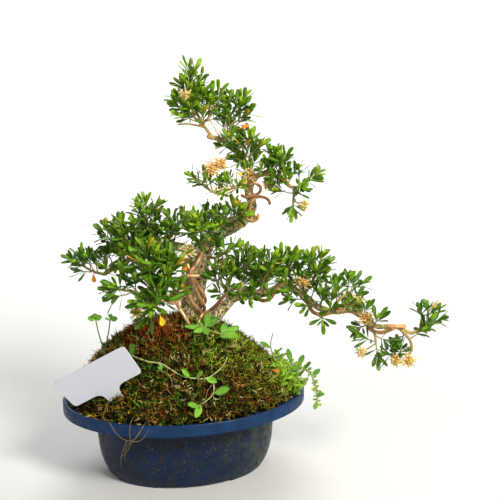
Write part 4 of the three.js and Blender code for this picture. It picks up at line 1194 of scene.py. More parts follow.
def make_wires():
    for name, (radius, colour, points) in WIRES.items():
        clear = pushed_clear(points, radius + GAP + WIRE_PUSH_OFF)
        parts = Parts()
        add_stem(parts, clear, (radius, radius, WIRE_SIDES, WIRE_STEP), colour)
        dress(parts.build(name + "_round", SURFACES["wire"]), "wire", name)


# Sprays: how full they are, how large their leaves, how young they look, and the twigs

SPRAYS = {
    "spray_crown_top": (
        1.35, 0.98, 1.0,
        ((22, -7, 233.5), (15.5, -6.5, 243), (10, -6, 256), (8.5, -5, 268)),
        ((16, -6.5, 242), (11, -7, 246), (7, -6, 251)),
        ((14, -6, 241), (21, -5, 247), (24, -4, 254)),
    ),
    "spray_crown_right": (1.35, 0.96, 0.6, ((31, -6, 229), (35, -8, 241), (39, -9, 250))),
    "spray_apex": (1.4, 0.95, 0.55, ((45, -6, 212), (43, -12, 218), (44, -15, 224))),
    "spray_left_shelf": (1.1, 0.8, 0.7, ((24, -17, 197), (18, -18, 200), (13.5, -17, 203.5))),
    "spray_right_shelf_top": (1.4, 0.85, 0.5, ((64, -20, 206), (65, -22, 211), (64, -23, 216))),
    "spray_right_shelf_end": (
        1.3, 0.85, 0.6,
        ((71, -25, 201), (75, -27, 201), (79, -28, 204)),
        ((73, -26, 200), (72, -30, 196), (71, -32, 193)),
    ),
    "spray_left_arm_tip": (1.4, 0.92, 0.3, ((-52, 30, 135), (-60, 33, 137), (-67, 36, 141))),
    "spray_left_arm_outer": (1.2, 0.95, 0.4, ((-37, 24, 145), (-43, 28, 154), (-46, 31, 161))),
    "spray_left_arm_peak": (1.2, 1.0, 0.7, ((-20, 16, 154), (-22, 18, 166), (-22, 18, 178))),
    "spray_left_arm_front": (1.35, 0.98, 0.45, ((-31, 22, 148), (-34, 13, 158), (-37, 9, 167))),
    "spray_left_arm_inner": (1.5, 0.98, 0.6, ((-8, 10, 158), (-7, 7, 165), (-3, 5, 171))),
    "spray_left_arm_back": (1.2, 0.95, 0.4, ((-14, 13, 156), (-18, 26, 155), (-22, 38, 152))),
    "spray_shoulder_front": (1.5, 1.0, 0.65, ((15, -2, 158), (13, -13, 166), (11, -18, 173))),
    "spray_shoulder_right": (1.5, 0.95, 0.55, ((29, -1, 168), (30, -11, 175), (33, -15, 180))),
    "spray_shoulder_back": (1.1, 0.95, 0.4, ((22, 0, 165), (24, 16, 166), (22, 32, 168))),
    "spray_trunk_front": (0.8, 0.85, 0.35, ((14, -2, 152), (22, -13, 153), (28, -20, 158))),
    "spray_left_low_tip": (1.1, 1.05, 0.35, ((-26, -20, 131), (-34, -22, 135), (-41, -21, 136))),
    "spray_left_low_top": (1.1, 1.15, 0.5, ((-20, -18, 129), (-23, -20, 141), (-24, -22, 153))),
    "spray_left_low_inner": (1.15, 1.1, 0.5, ((-13, -13, 127), (-14, -21, 138), (-12, -25, 151))),
    "spray_left_low_face": (1, 1.25, 0.25, ((-17, -16, 128), (-20, -28, 128), (-21, -35, 129))),
    "spray_cascade_1": (1.15, 0.9, 0.3, ((30, -12, 121), (27, -19, 132), (23, -22, 141))),
    "spray_cascade_2": (1.15, 0.95, 0.6, ((38, -16, 126), (40, -17, 137), (41, -16, 147))),
    "spray_cascade_3": (
        1.1, 0.95, 0.6,
        ((50, -22, 129), (52, -27, 139), (55, -32, 148)),
        ((51, -24, 133), (55, -12, 136), (56, 0, 138)),
    ),
    "spray_cascade_4": (1.1, 0.95, 0.6, ((61, -28, 133), (66, -26, 141), (71, -23, 147))),
    "spray_cascade_5": (1.3, 0.92, 0.5, ((77, -36, 129), (82, -39, 139), (85, -42, 149))),
    "spray_cascade_6": (0.9, 0.95, 0.35, ((94, -45, 120), (99, -46, 128), (108, -44, 133))),
    "spray_cascade_7": (0.6, 1.1, 0.15, ((115, -55, 115), (117, -65, 110), (116, -72, 105))),
    "spray_cascade_under": (
        0.45, 0.8, 0.2,
        ((135, -62.5, 111), (142, -65, 102), (142, -65, 94), (134, -65, 94)),
    ),
    "spray_cascade_tip": (
        1.2, 0.85, 0.25,
        ((143, -63, 107), (148, -62, 108), (153, -61, 111), (156, -60, 114)),
    ),
}
TWIG_SPACING = 3.6
ORANGE_CHANCE = 0.005
YELLOW_CHANCE = 0.009
SIDE_TWIG_LENGTH = (2.5, 6.5)
LEADER_LENGTH = 3

# Stretches of wood that carry short leafy spurs: start and end share, number, leaf size and youth

SPURS = {
    "spurs_left_arm": (LEFT_ARM, ((0.24, 0.99, 24, 0.9, 0.45),)),
    "spurs_left_low": (LEFT_LOW_BRANCH, ((0.3, 0.98, 8, 1.05, 0.4),)),
    "spurs_cascade": (CASCADE, (
        (0.25, 0.4, 9, 0.85, 0.45),
        (0.47, 0.7, 15, 0.85, 0.5),
        (0.72, 0.84, 4, 0.9, 0.35),
    )),
    "spurs_crown": (TRUNK, ((0.73, 0.93, 11, 0.85, 0.6),)),
    "spurs_right_shelf": (RIGHT_SHELF, ((0.35, 0.98, 14, 0.72, 0.55),)),
    "spurs_left_shelf": (LEFT_SHELF, ((0.4, 0.98, 8, 0.62, 0.75),)),
}

# Pairs of leaves on a shoot: place along it, quarter turns, lean in degrees, size

LEAF_RANKS = ((0.2, 0, 60, 0.88), (0.44, 1, 47, 1.05), (0.68, 0, 34, 1.05), (0.9, 1, 21, 0.9))
TIP_RANK = (1.0, 0, 9, 0.6)


def leaf_tint(draw, rank_share, youth):
    """Deep green low on a shoot, brighter towards its tip, and now and then a turning leaf."""
    chance = draw.random()
    if chance < ORANGE_CHANCE:
        return ORANGE_LEAF, YELLOW_LEAF
    if chance < ORANGE_CHANCE + YELLOW_CHANCE:
        return YELLOW_LEAF, YELLOW_LEAF
    if rank_share >= 1:
        young = draw.uniform(0.2, 0.5) + 0.5 * youth
        return mix(BRIGHT_LEAF, NEW_LEAF, young), mix(BRIGHT_LEAF, NEW_LEAF, 0.6 * young)
    age = clamped(draw.gauss(0.42 * rank_share + 0.6 * youth, 0.2))
    colour = mix(OLD_LEAF, MIDDLE_LEAF, min(2 * age, 1))
    colour = mix(colour, BRIGHT_LEAF, max(2 * age - 1, 0))
    colour = colour * draw.uniform(0.8, 1.2)
    return mix(colour, GREEN_STEM, 0.1), mix(colour, NEW_LEAF, 0.25 * rank_share * youth)


def add_shoot(leaves, stems, root, axis, phase, size, youth, draw):
    length = SHOOT_LENGTH * size * draw.uniform(0.75, 1.2)
    tip = root + axis * length
    add_stem(stems, (root, (root + tip) / 2, tip), SHOOT, TWIG_BARK, GREEN_STEM)
    first_side = turned(sideways_of(axis), axis, phase)
    ranks = LEAF_RANKS + ((TIP_RANK,) if draw.random() < 0.8 else ())
    size *= draw.uniform(0.88, 1.1)
    for place, quarter, lean, share in ranks:
        for side in (0, 1):
            turn = (quarter / 2 + side) * math.pi + math.radians(draw.uniform(-14, 14))
            outward = turned(first_side, axis, turn)
            angle = math.radians(lean + draw.uniform(-9, 9))
            along = axis * math.cos(angle) + outward * math.sin(angle)
            face = axis * math.sin(angle) - outward * math.cos(angle)
            face = turned(face, along, math.radians(draw.uniform(-18, 18)))
            scale = share * size * draw.uniform(0.85, 1.14)
            colour, tip_colour = leaf_tint(draw, place, youth)
            add_leaf(leaves, "spatulate", root + axis * length * place, along, face, LEAF_LENGTH * scale,
                     LEAF_WIDTH * math.sqrt(scale), colour, tip_colour,
                     cup=draw.uniform(0.05, 0.3), arch=draw.uniform(-0.04, 0.16))


def twig_limb(points):
    return plain_limb(points, TWIG_ROOT, TWIG_TIP)


def add_side_twig(leaves, stems, root, heading, length, phase, size, youth, draw):
    """A thin twig that curves up to a shoot at its end."""
    bent = unit(heading + UP * 0.35)
    middle = root + heading * length * 0.5
    tip = middle + bent * length * 0.5
    add_stem(stems, (root, middle, tip), SIDE_TWIG, TWIG_BARK, mix(TWIG_BARK, GREEN_STEM, 0.4))
    add_shoot(leaves, stems, tip, bent, phase, size, youth, draw)


def dress_foliage(name, leaves, stems, *nodes):
    dress(leaves.build(name + "_leaves", SURFACES["leaf"]), "leaf", *nodes)
    dress(stems.build(name + "_twigs", SURFACES["twig"]), "bark")


def make_spray(name, fullness, size, youth, twigs):
    """The twigs of a spray with a shoot at each tip and side twigs set round at the golden angle."""
    draw = random.Random(name)
    leaves, stems = Parts(), Parts()
    for points in twigs:
        limb = twig_limb(points)
        add_tube(stems, limb, 9, 1.5, TWIG_BARK * 1.15, mix(TWIG_BARK, GREEN_STEM, 0.6))
        phase = draw.uniform(0, 2 * math.pi)
        leading = limb.point(1) + limb.tangent(1) * LEADER_LENGTH
        add_stem(stems, (limb.point(0.97), limb.point(1), leading), LEADER, TWIG_BARK, GREEN_STEM)
        add_shoot(leaves, stems, leading, limb.tangent(1), phase, size, youth + 0.3, draw)
        count = round(limb.length / TWIG_SPACING * fullness)
        for index in range(count):
            share = 1 - (index + 0.3) / count * LEAFY_SHARE
            along = limb.tangent(share)
            radial = turned(sideways_of(along), along, phase + index * GOLDEN_ANGLE)
            heading = unit(along * 0.5 + radial * 0.85 + UP * 0.3)
            length = draw.uniform(*SIDE_TWIG_LENGTH) * (1.15 - 0.6 * share) * 1.4
            add_side_twig(leaves, stems, limb.point(share), heading, length, phase + index, size,
                          youth * (0.5 + 0.5 * share), draw)
    dress_foliage(name, leaves, stems, name)


def make_spurs(name, limb, stretches):
    """Short leafy spurs round a branch, leaning forward and up."""
    draw = random.Random(name)
    leaves, stems = Parts(), Parts()
    for start, end, count, size, youth in stretches:
        for index in range(count):
            share = start + (end - start) * (index + draw.random()) / count
            along = limb.tangent(share)
            radial = turned(sideways_of(along), along, index * GOLDEN_ANGLE + draw.uniform(0, 1))
            heading = unit(radial + UP * 0.8 + FRONT * 0.4 + along * 0.2)
            root = limb.point(share) + heading * limb.radius(share) * 0.6
            length = limb.radius(share) * 0.5 + draw.uniform(1.5, 4.5)
            add_side_twig(leaves, stems, root, heading, length, index, size, youth, draw)
    dress_foliage(name, leaves, stems)


SPRAY_LIMBS = [twig_limb(points) for _, _, _, *twigs in SPRAYS.values() for points in twigs]
LIMBS_AND_TWIGS = [*WOOD, *SPRAY_LIMBS]


def nearest_wood(place):
    """The middle of the limb or twig whose bark lies nearest to a place."""
    found = (limb.nearest(np.array(place, float)) for limb in LIMBS_AND_TWIGS)
    return min(found, key=lambda near: near[2] - near[1])[0]


# Single leaves that have turned or dried: where each starts and points, its length, width and colour

TURNED_LEAVES = (
    ((38.5, -15, 239), (0.9, -0.1, 0.35), 7.5, 2.6, ORANGE_LEAF),
    ((35, -11, 229), (0.9, -0.2, 0.05), 6, 2.4, YELLOW_LEAF),
    ((36, -17, 211), (0.8, -0.3, -0.4), 4.5, 2.4, YELLOW_LEAF),
    ((38, -18, 206), (0.85, -0.3, -0.2), 5.5, 3, YELLOW_LEAF),
    ((35, -16, 193), (0.3, -0.2, -0.9), 5.5, 3, YELLOW_LEAF),
    ((-60, 27, 136.5), (0.1, -0.3, -0.9), 6, 3.4, ORANGE_LEAF),
    ((-20, 5, 162), (0.8, -0.3, -0.1), 7, 2.6, ORANGE_LEAF),
    ((-28, 8, 157), (-0.1, -0.3, -0.9), 6, 2.6, ORANGE_LEAF),
    ((1, -19, 153), (-0.2, -0.3, -0.9), 7, 3, ORANGE_LEAF),
    ((-18, -30, 120), (0.2, -0.4, -0.9), 7, 4.5, YELLOW_LEAF),
)
DRY_STICK = ((-0.3, -6, 242.2), (6.2, -6.7, 242.4), (13.5, -6.5, 240.9), (17.6, -6.6, 239.8))


# Thin dry twigs on the left shelf and on the stub at the crown

DRY_TWIGS = (
    (0.7, (42, -16.5, 202.5), (35.5, -18.5, 200.5), (27.5, -18, 197), (23, -17.5, 195.5)),
    (0.6, (38.5, -17, 200.5), (31.5, -19, 201.5), (24, -18.5, 197.5), (21, -18, 196.5)),
    (0.55, (34, -17.5, 202), (26, -19, 200.5), (18.5, -17.5, 198), (15, -16, 197.5)),
    (0.5, (22.5, -19.5, 203), (23, -19.5, 199), (23, -18.5, 195)),
    (0.55, (27.5, -17, 196.5), (21, -17, 199.5), (15.5, -16, 201), (12, -15.5, 204.5)),
    (0.45, (30.5, -17.5, 200.5), (26, -19, 204.5), (22, -19, 206)),
    (0.45, (35.5, -18.5, 201.5), (31.5, -20, 205.5), (30.5, -21.5, 210)),
    (0.6, (27.5, -8, 232.5), (23, -9, 240), (19, -9.5, 247)),
    (0.5, (31, -8.5, 231.5), (26, -10, 238), (22.5, -10, 243.5)),
    (0.45, (32.5, -9, 231.5), (29.5, -11.5, 238), (30.5, -12.5, 243.5)),
)


def make_dry_twigs():
    parts = Parts()
    for radius, *points in DRY_TWIGS:
        add_stem(parts, points, (radius, radius * 0.6, 6, 1.2), BARK_PLATE, BARK_CREAM)
    dress(parts.build("dry_twigs", SURFACES["twig"]), "bark")


def make_turned_leaves():
    parts = Parts()
    add_stem(parts, DRY_STICK, STICK, DRY_LEAF, DRY_LEAF * 0.6)
    for root, along, length, width, colour in TURNED_LEAVES:
        foot = nearest_wood(root)
        add_stem(parts, (foot, (foot + root) / 2 - UP * 0.5, root), LEAF_STALK, TWIG_BARK, colour)
        along = unit(np.array(along, float))
        face = unit(FRONT + UP * 0.6 - along * along.dot(FRONT + UP * 0.6))
        add_leaf(parts, "spatulate", np.array(root, float), along, face, length, width, colour, colour * 1.1,
                 cup=0.3, arch=0.1)
    dress(parts.build("turned_leaves", SURFACES["leaf"]), "leaf")


# Flowers: how orange they are, their size, and the centres of the heads on each stalk

BLOOMS = {
    "bloom_crown": (0.5, 0.75, (4, -14, 262)),
    "bloom_left_shelf": (0.75, 1.1, (19, -21, 214), (25, -20.5, 217)),
    "bloom_apex": (0.6, 1.0, (45, -17, 209)),
    "bloom_right_shelf": (0.25, 0.85, (57, -20, 202)),
    "bloom_right_shelf_low": (0.3, 0.75, (78, -33, 190)),
    "bloom_neck": (0.5, 0.8, (39, -12, 175)),
    "bloom_trunk_top": (0.0, 1.1, (3, -18, 160)),
    "bloom_trunk_right": (0.1, 0.9, (26, -22, 150)),
    "bloom_cascade_1": (0.4, 0.6, (37, -24, 134)),
    "bloom_cascade_4": (0.7, 1.1, (75, -43, 141)),
    "bloom_cascade_6": (0.05, 0.9, (109, -54, 128)),
    "bloom_cascade_7": (0.8, 1.05, (112, -63, 119)),
    "bloom_cascade_low": (0.3, 0.75, (106, -73, 100)),
    "bloom_cascade_under": (0.5, 0.95, (131, -68, 91), (140, -68, 90)),
    "bloom_left_low": (0.6, 1.1, (-33, -28, 123)),
}
BUDS = 16
BUD_OFFSET = 1.8
BUD_SIZE = (3, 1.8)
BRACTS = 12
BRACT_LENGTH = (2.2, 3.4)
BRACT_WIDTH = 1.4
STAMENS = 60
STAMEN_REACH = (3.0, 6.2)
STAMEN_SPREAD = 0.3
ANTHER_CHANCE = 0.6
ANTHER_SIZE = (1.1, 0.8)


def even_direction(index, count):
    """Directions spread evenly over a ball."""
    z = 1 - 2 * (index + 0.5) / count
    angle = index * GOLDEN_ANGLE
    ring = math.sqrt(1 - z * z)
    return np.array((ring * math.cos(angle), ring * math.sin(angle), z))


def add_head(parts, centre, warmth, size, draw):
    """Buds in the middle, small pale bracts, and curved stamens with knobs all round."""
    for index in range(BUDS):
        outward = even_direction(index, BUDS)
        colour = mix(BUD_YELLOW, BUD_ORANGE, clamped(draw.gauss(warmth, 0.25)))
        length, width = (measure * size for measure in BUD_SIZE)
        place = centre + outward * BUD_OFFSET * size
        add_ball(parts, place, outward, length, width, colour * draw.uniform(0.7, 1.1))
    for index in range(BRACTS):
        outward = even_direction(index, BRACTS)
        face = sideways_of(outward)
        colour = mix(STAMEN_CREAM, BUD_ORANGE, 0.2 + 0.4 * warmth)
        add_leaf(parts, "oval", centre + outward * size, outward, face, draw.uniform(*BRACT_LENGTH) * size,
                 BRACT_WIDTH, colour, colour * 1.1)
    for index in range(STAMENS):
        stray = np.array([draw.uniform(-1, 1) for _ in range(3)])
        outward = unit(even_direction(index, STAMENS) + STAMEN_SPREAD * stray)
        bend = sideways_of(outward) * draw.uniform(-2.4, 2.4) + UP * draw.uniform(-0.4, 1.4)
        reach = draw.uniform(*STAMEN_REACH) * size
        tip = centre + outward * reach + bend * 0.5
        middle = centre + outward * reach * 0.55 - bend * 0.3
        warm = clamped(draw.gauss(warmth, 0.2))
        root_colour = mix(STAMEN_CREAM, STAMEN_WARM, warm)
        tip_colour = mix(STAMEN_CREAM, STAMEN_WARM, 0.45 * warm)
        add_stem(parts, (centre, middle, tip), STAMEN, root_colour, tip_colour)
        if draw.random() < ANTHER_CHANCE:
            heading = unit(outward + bend * 0.2)
            add_ball(parts, tip, heading, *ANTHER_SIZE, mix(ANTHER, tip_colour, 0.4))


def make_blooms():
    for name, (warmth, size, *centres) in BLOOMS.items():
        draw = random.Random(name)
        parts = Parts()
        foot = nearest_wood(centres[0])
        for centre in centres:
            centre = np.array(centre, float)
            middle = (foot + centre) / 2 - UP * 0.4
            add_stem(parts, (foot, middle, centre), BLOOM_STALK, TWIG_BARK, GREEN_STEM)
            add_head(parts, centre, warmth, size, draw)
            foot = centre
        dress(parts.build(name + "_stamens", SURFACES["flower"]), "flower", name)


# Weeds: stems as rows of x, y, height over the moss and radius; leaves on them

WEEDS = {
    "weed_creeper": (
        (
            ((-40, -21, -3, 0.8), (-39, -22, 2, 0.8), (-33, -27.5, 2.5, 0.7), (-27, -31, 2.2, 0.7),
             (-19, -34.5, 2.5, 0.7), (-12, -38, 2, 0.7), (-5, -41, 1.6, 0.7), (2, -42, 2, 0.7),
             (8, -42, 1.7, 0.7), (13, -41, 2.2, 0.7), (22, -35, 2.4, 0.6), (24.5, -32, 2.8, 0.6),
             (26, -29, 2.6, 0.5)),
            ((13, -41, 2, 0.6), (14.5, -45, 2.6, 0.6), (13, -48, 2.4, 0.5), (7, -51, 2.6, 0.5),
             (2, -52, 2.6, 0.4)),
        ),
        (
            (0, 0.06, (0.3, -0.5, 0.8), 11, 8),
            (0, 0.6, (-0.5, -0.45, 0.75), 11, 5),
            (0, 0.64, (0.45, -0.5, 0.75), 9, 4),
            (0, 0.33, (0.1, -0.5, -0.8), 5, 4),
            (0, 0.72, (0.9, -0.4, -0.2), 8, 5),
            (1, 0.97, (-0.7, -0.5, 0.25), 9, 6),
            (1, 0.9, (-0.4, -0.6, -0.7), 10, 5.5),
            (1, 0.45, (0.85, -0.35, 0.35), 12, 7),
        ),
    ),
    "weed_clover": (
        (
            ((-54, -9, -3, 0.8), (-55, -9, 6, 0.7), (-58, -8, 20, 0.6), (-60, -6, 33, 0.5)),
            ((-55, -9, 6, 0.6), (-52, -8, 14, 0.6), (-50, -6, 22, 0.5)),
        ),
        (
            (0, 0.98, (-0.9, -0.2, 0.25), 5.4, 4.8),
            (0, 0.98, (0.75, -0.35, 0.35), 5, 4.8),
            (0, 0.99, (-0.1, -0.3, 0.9), 4.2, 4.4),
            (1, 0.98, (0.95, -0.1, 0.2), 5, 4.6),
            (1, 0.98, (-0.5, -0.7, 0.4), 5.2, 4.8),
            (1, 0.99, (0.2, -0.3, 0.9), 4.4, 4.6),
        ),
    ),
    "weed_rosette": (
        (
            ((14, -13, -3, 1), (14, -13.5, 2, 1), (14, -14, 5, 0.8)),
            ((14, -13.5, 2, 0.7), (20, -16, 3, 0.7), (25, -18, 5, 0.7)),
        ),
        (
            (0, 0.8, (-0.95, -0.1, 0.2), 15, 4.5),
            (0, 0.8, (-0.65, -0.7, 0.1), 13, 6),
            (0, 0.95, (0.15, -0.1, 0.95), 10, 6),
            (0, 0.9, (0.75, -0.2, 0.6), 11, 6.5),
            (0, 0.85, (-0.1, -0.9, -0.1), 11, 6),
            (0, 0.85, (-0.5, 0.5, 0.6), 10, 5),
            (0, 0.85, (0.5, 0.7, 0.4), 10, 5),
            (1, 0.9, (0.8, -0.6, 0.05), 14, 7),
            (1, 0.95, (0.9, 0.1, 0.4), 13, 6),
            (1, 0.9, (0.1, -0.95, 0.1), 9, 5),
            (1, 0.95, (0.3, 0.5, 0.8), 9, 5.5),
        ),
    ),
    "weed_edge_clump": (
        (
            ((62, -6, -3, 1), (64, -7, 4, 0.9), (71, -9, 12, 0.8), (79, -11, 16, 0.8), (87, -14, 11, 0.7),
             (91, -16, 0, 0.6), (92, -17, -12, 0.5)),
            ((64, -7, 4, 0.8), (61, -4, 12, 0.6), (63, -2, 22, 0.4)),
            ((73, -9.5, 13.4, 0.7), (72, -16, 12, 0.6), (73, -24, 10, 0.5)),
        ),
        (
            (0, 0.3, (-0.1, 0.5, 0.8), 11, 4),
            (0, 0.4, (0.5, 0.6, 0.6), 10, 4),
            (0, 0.48, (0.3, -0.6, 0.7), 9, 4),
            (0, 0.62, (0.8, 0.3, 0.5), 8, 4),
            (0, 0.86, (0.7, -0.6, 0.1), 6, 3.4),
            (0, 0.97, (-0.5, -0.5, -0.7), 6, 3.4),
            (1, 0.5, (-0.8, 0.2, 0.5), 9, 3.6),
            (2, 0.5, (0.7, -0.3, 0.6), 8, 4),
            (2, 0.95, (0.1, -0.8, 0.4), 8, 4),
        ),
    ),
}
STEM_SLIMNESS = 0.72
STEM_LIFT = 0.9
CLUMP_ROOT = (70, -14)
CLUMP_STEMS = 50
CLUMP_RISE = (3.5, 11)
CLUMP_REACH = (3, 8.5)
CLUMP_LEAF_LENGTH = (2.2, 4.2)
CLUMP_LEAF_WIDTH = (1.4, 2.2)


def ground(x, y):
    """Height of the moss, or of its edge where the place lies beyond it."""
    return max(moss_height(x, y), MOSS_EDGE_Z)


def weed_leaf_face(along):
    """The upper side of a weed's leaf, turned to the light that falls from the front."""
    face = np.array((-0.1, -0.6, 0.75))
    return unit(face - along * face.dot(along))


def make_weed(name, stems, leaves):
    draw = random.Random(name)
    parts = Parts()
    limbs = []
    root_colour = WEED_DARK_STEM if name == "weed_clover" else WEED_STEM
    for rows in stems:
        limb = Limb([(x, y, moss_height(x, y) + lift + STEM_LIFT, radius * STEM_SLIMNESS)
                     for x, y, lift, radius in rows])
        limbs.append(limb)
        add_tube(parts, limb, 8, 1.2, root_colour, mix(root_colour, WEED_GREEN, 0.4))
    for stem, place, along, length, width in leaves:
        along = unit(np.array(along, float))
        colour = mix(WEED_GREEN, WEED_BRIGHT, draw.random())
        add_leaf(parts, "oval", limbs[stem].point(place), along, weed_leaf_face(along), length, width,
                 mix(colour, WEED_PALE, 0.2), colour, cup=0.14, arch=draw.uniform(0.04, 0.16))
    return parts, limbs, draw


def add_small_leaves(parts, limb, draw, count, start):
    """Small leaves all along a fine stem."""
    for index in range(count):
        share = start + (1 - start) * (index + draw.random()) / count
        along = limb.tangent(share)
        outward = turned(sideways_of(along), along, index * GOLDEN_ANGLE)
        lean = unit(outward + along * 0.5 + UP * 0.5)
        colour = mix(WEED_BRIGHT, MOSS_BRIGHT, draw.random()) * draw.uniform(0.7, 1.3)
        add_leaf(parts, "oval", limb.point(share), lean, weed_leaf_face(lean),
                 draw.uniform(*CLUMP_LEAF_LENGTH), draw.uniform(*CLUMP_LEAF_WIDTH), colour, colour)


def add_clump(parts, draw):
    """Fine stems that rise from one root, arch over the rim and carry small leaves."""
    for _ in range(CLUMP_STEMS):
        x, y = CLUMP_ROOT[0] + draw.uniform(-8, 7), CLUMP_ROOT[1] + draw.uniform(-10, 13)
        root = np.array((x, y, ground(x, y) - 0.5))
        outward = unit(np.array((draw.uniform(-0.35, 1), draw.uniform(-0.8, 0.6), 0)))
        rise, reach = draw.uniform(*CLUMP_RISE), draw.uniform(*CLUMP_REACH)
        steps = ((0, 0), (0.7, 0.3), (1, 0.7), (0.8, 1))
        points = [root + UP * rise * up + outward * reach * out for up, out in steps]
        limb = add_stem(parts, points, CLUMP_STEM, WEED_GREEN * 0.7, WEED_BRIGHT)
        add_small_leaves(parts, limb, draw, round(limb.length * 0.85), 0.15)


def make_weeds():
    for name, (stems, leaves) in WEEDS.items():
        parts, limbs, draw = make_weed(name, stems, leaves)
        if name == "weed_edge_clump":
            for limb in (limbs[0], limbs[2]):
                add_small_leaves(parts, limb, draw, round(limb.length * 1.1), 0.12)
            add_clump(parts, draw)
        dress(parts.build(name + "_growth", SURFACES["weed"]), "weed", name)


# Grass, dead straws and a few fallen leaves on the moss

HANGING_STRAWS = (
    ((-52, -33, 1), (-58, -42, 4), (-57.5, -47, 4), (-55, -50, 3), (-51, -52.5, -4), (-47, -54, -8),
     (-43, -56, -9), (-39.5, -57, -8), (-36, -58, -4), (-33, -57, 1), (-29, -51, 2)),
    ((-44, -55.5, -9), (-46, -55, -14), (-48, -53.5, -21), (-48.5, -52.5, -28)),
    ((-33, -57.5, 1), (-38, -58, -6), (-42, -56.5, -12), (-45, -55, -18), (-49, -52.5, -22)),
    ((-38, -47, 1), (-41, -53, 2), (-42, -57, -3), (-42, -57, -9), (-45, -55, -15), (-46, -54, -24)),
    ((-42, -57, -9), (-37, -58.5, -9), (-33, -59, -6), (-30, -59, -1)),
)
TALL_GRASS = (
    (0.55, (61.2, -0.3, 72), (57.1, 0.4, 78.3), (54.3, 0.9, 85.1)),
    (0.4, (37.7, -23.6, 82.5), (44, -20, 82.2), (48.7, -16.9, 80.2), (56, -8, 77), (61.2, -0.3, 73.6)),
    (0.3, (46, -10, 82), (47, -10.5, 86), (50, -11, 90)),
)
LOOSE_STRAWS = 60
STRAW_REACH = (2, 7)
STRAW_LIFT = (1.6, 3.4)
GRASS_BLADES = 90
BLADE_LENGTH = (3.5, 7)

# Fallen leaves: place on the mound, heading and colour

FALLEN_LEAVES = (
    (59, -18, 5.2, ORANGE_LEAF),
    (-30, -8, 2.0, BUD_ORANGE),
    (17, -27, 3.4, STRAW * 0.9),
    (-12, -44, 5.1, STRAW),
    (27, -23, 0.3, STRAW * 0.8),
    (44, -36, 1.1, STRAW),
    (5, -20, 0.4, STRAW),
    (20, 36, 2.7, ORANGE_LEAF),
)
FALLEN_LEAF_SIZE = (8.5, 3.6)
FALLEN_LEAF_LIFT = 3.0


def make_placed_straws(parts):
    for rows in HANGING_STRAWS:
        points = [(x, y, ground(x, y) + lift) for x, y, lift in rows]
        add_stem(parts, points, HANGING_STRAW, STRAW * 0.7, STRAW * 0.4)
    for radius, *points in TALL_GRASS:
        add_stem(parts, points, (radius, 0.2, 6, 1.2), WEED_GREEN, WEED_BRIGHT)


def make_loose_straws(parts, draw):
    for _ in range(LOOSE_STRAWS):
        share, angle = draw.uniform(0.3, 0.97), draw.uniform(0, 2 * math.pi)
        middle = mound_point(share, angle)
        heading = draw.uniform(0, 2 * math.pi)
        reach = draw.uniform(*STRAW_REACH)
        points = []
        for step in (-1, -0.3, 0.4, 1):
            x = middle[0] + reach * step * math.cos(heading + 0.4 * step)
            y = middle[1] + reach * step * math.sin(heading + 0.4 * step)
            points.append((x, y, ground(x, y) + draw.uniform(*STRAW_LIFT)))
        straw = (draw.uniform(0.18, 0.34), 0.14, 5, 1.5)
        add_stem(parts, points, straw, STRAW * draw.uniform(0.4, 1.7))


def make_grass(parts, draw):
    for _ in range(GRASS_BLADES):
        share, angle = draw.uniform(0.2, 0.95), draw.uniform(-1.9, 0.9)
        root = mound_point(share, angle) - UP * 0.5
        lean = np.array((draw.uniform(-0.7, 0.7), draw.uniform(-0.7, 0.7), 1))
        length = draw.uniform(*BLADE_LENGTH)
        colour = mix(MOSS_BRIGHT, WEED_GREEN, draw.random())
        points = (root, root + unit(lean) * length * 0.5, root + unit(lean) * length + lean * (0.8, 0.8, 0))
        add_stem(parts, points, GRASS_BLADE, colour * 0.6, colour)


def make_fallen_leaves():
    parts = Parts()
    for x, y, heading, tint in FALLEN_LEAVES:
        root = np.array((x, y, moss_height(x, y) + FALLEN_LEAF_LIFT))
        along = unit(np.array((math.cos(heading), math.sin(heading), 0.1)))
        add_leaf(parts, "spatulate", root, along, weed_leaf_face(along), *FALLEN_LEAF_SIZE, tint * 0.9, tint,
                 cup=0.4)
    dress(parts.build("fallen_leaves", SURFACES["leaf"]), "leaf")


def make_litter():
    draw = random.Random("litter")
    parts = Parts()
    make_placed_straws(parts)
    make_loose_straws(parts, draw)
    make_grass(parts, draw)
    dress(parts.build("litter_straws", SURFACES["weed"]), "moss")
    make_fallen_leaves()


# Label: a blank tag whose stem stands in the moss, with softened edges

LABEL_CORNER = np.array((-87.6, -27, 74.6))
LABEL_ALONG = unit(np.array((0.792, -0.282, 0.542)))
LABEL_DOWN = np.array((0.563, -0.005, -0.826))
LABEL_THICKNESS = 0.8
LABEL_EDGE = 0.18
LABEL_CURVE_STEPS = 7
LABEL_SHARP_ANGLE = math.radians(30)

# Corners of the label: along, up, how far each is rounded, and the way it moves when the label grows

LABEL_CORNERS = (
    (-0.5, 4, 3, -1, 1),
    (56.4, 0.1, 3, 1, 1),
    (54.9, -22, 3, 1, -1),
    (33.8, -20.7, 7, 1, -1),
    (33.8, -37, 1, 1, -1),
    (28.5, -41, 0.5, 0, -1),
    (23, -37, 1, -1, -1),
    (23, -20, 6, -1, -1),
    (1.4, -18.6, 3, -1, -1),
)


def label_outline(inset):
    """Points of the tag's outline seen from its front, clockwise from its upper left."""
    corners = [np.array((x - inset * out_x, y - inset * out_y)) for x, y, _, out_x, out_y in LABEL_CORNERS]
    shares = np.linspace(0, 1, LABEL_CURVE_STEPS)[:, None]
    curves = []
    for i, corner in enumerate(corners):
        soft = LABEL_CORNERS[i][2]
        enter = corner + unit(corners[i - 1] - corner) * soft
        leave = corner + unit(corners[(i + 1) % len(corners)] - corner) * soft
        curves.append(bent(enter, corner, leave, shares))
    return np.vstack(curves)


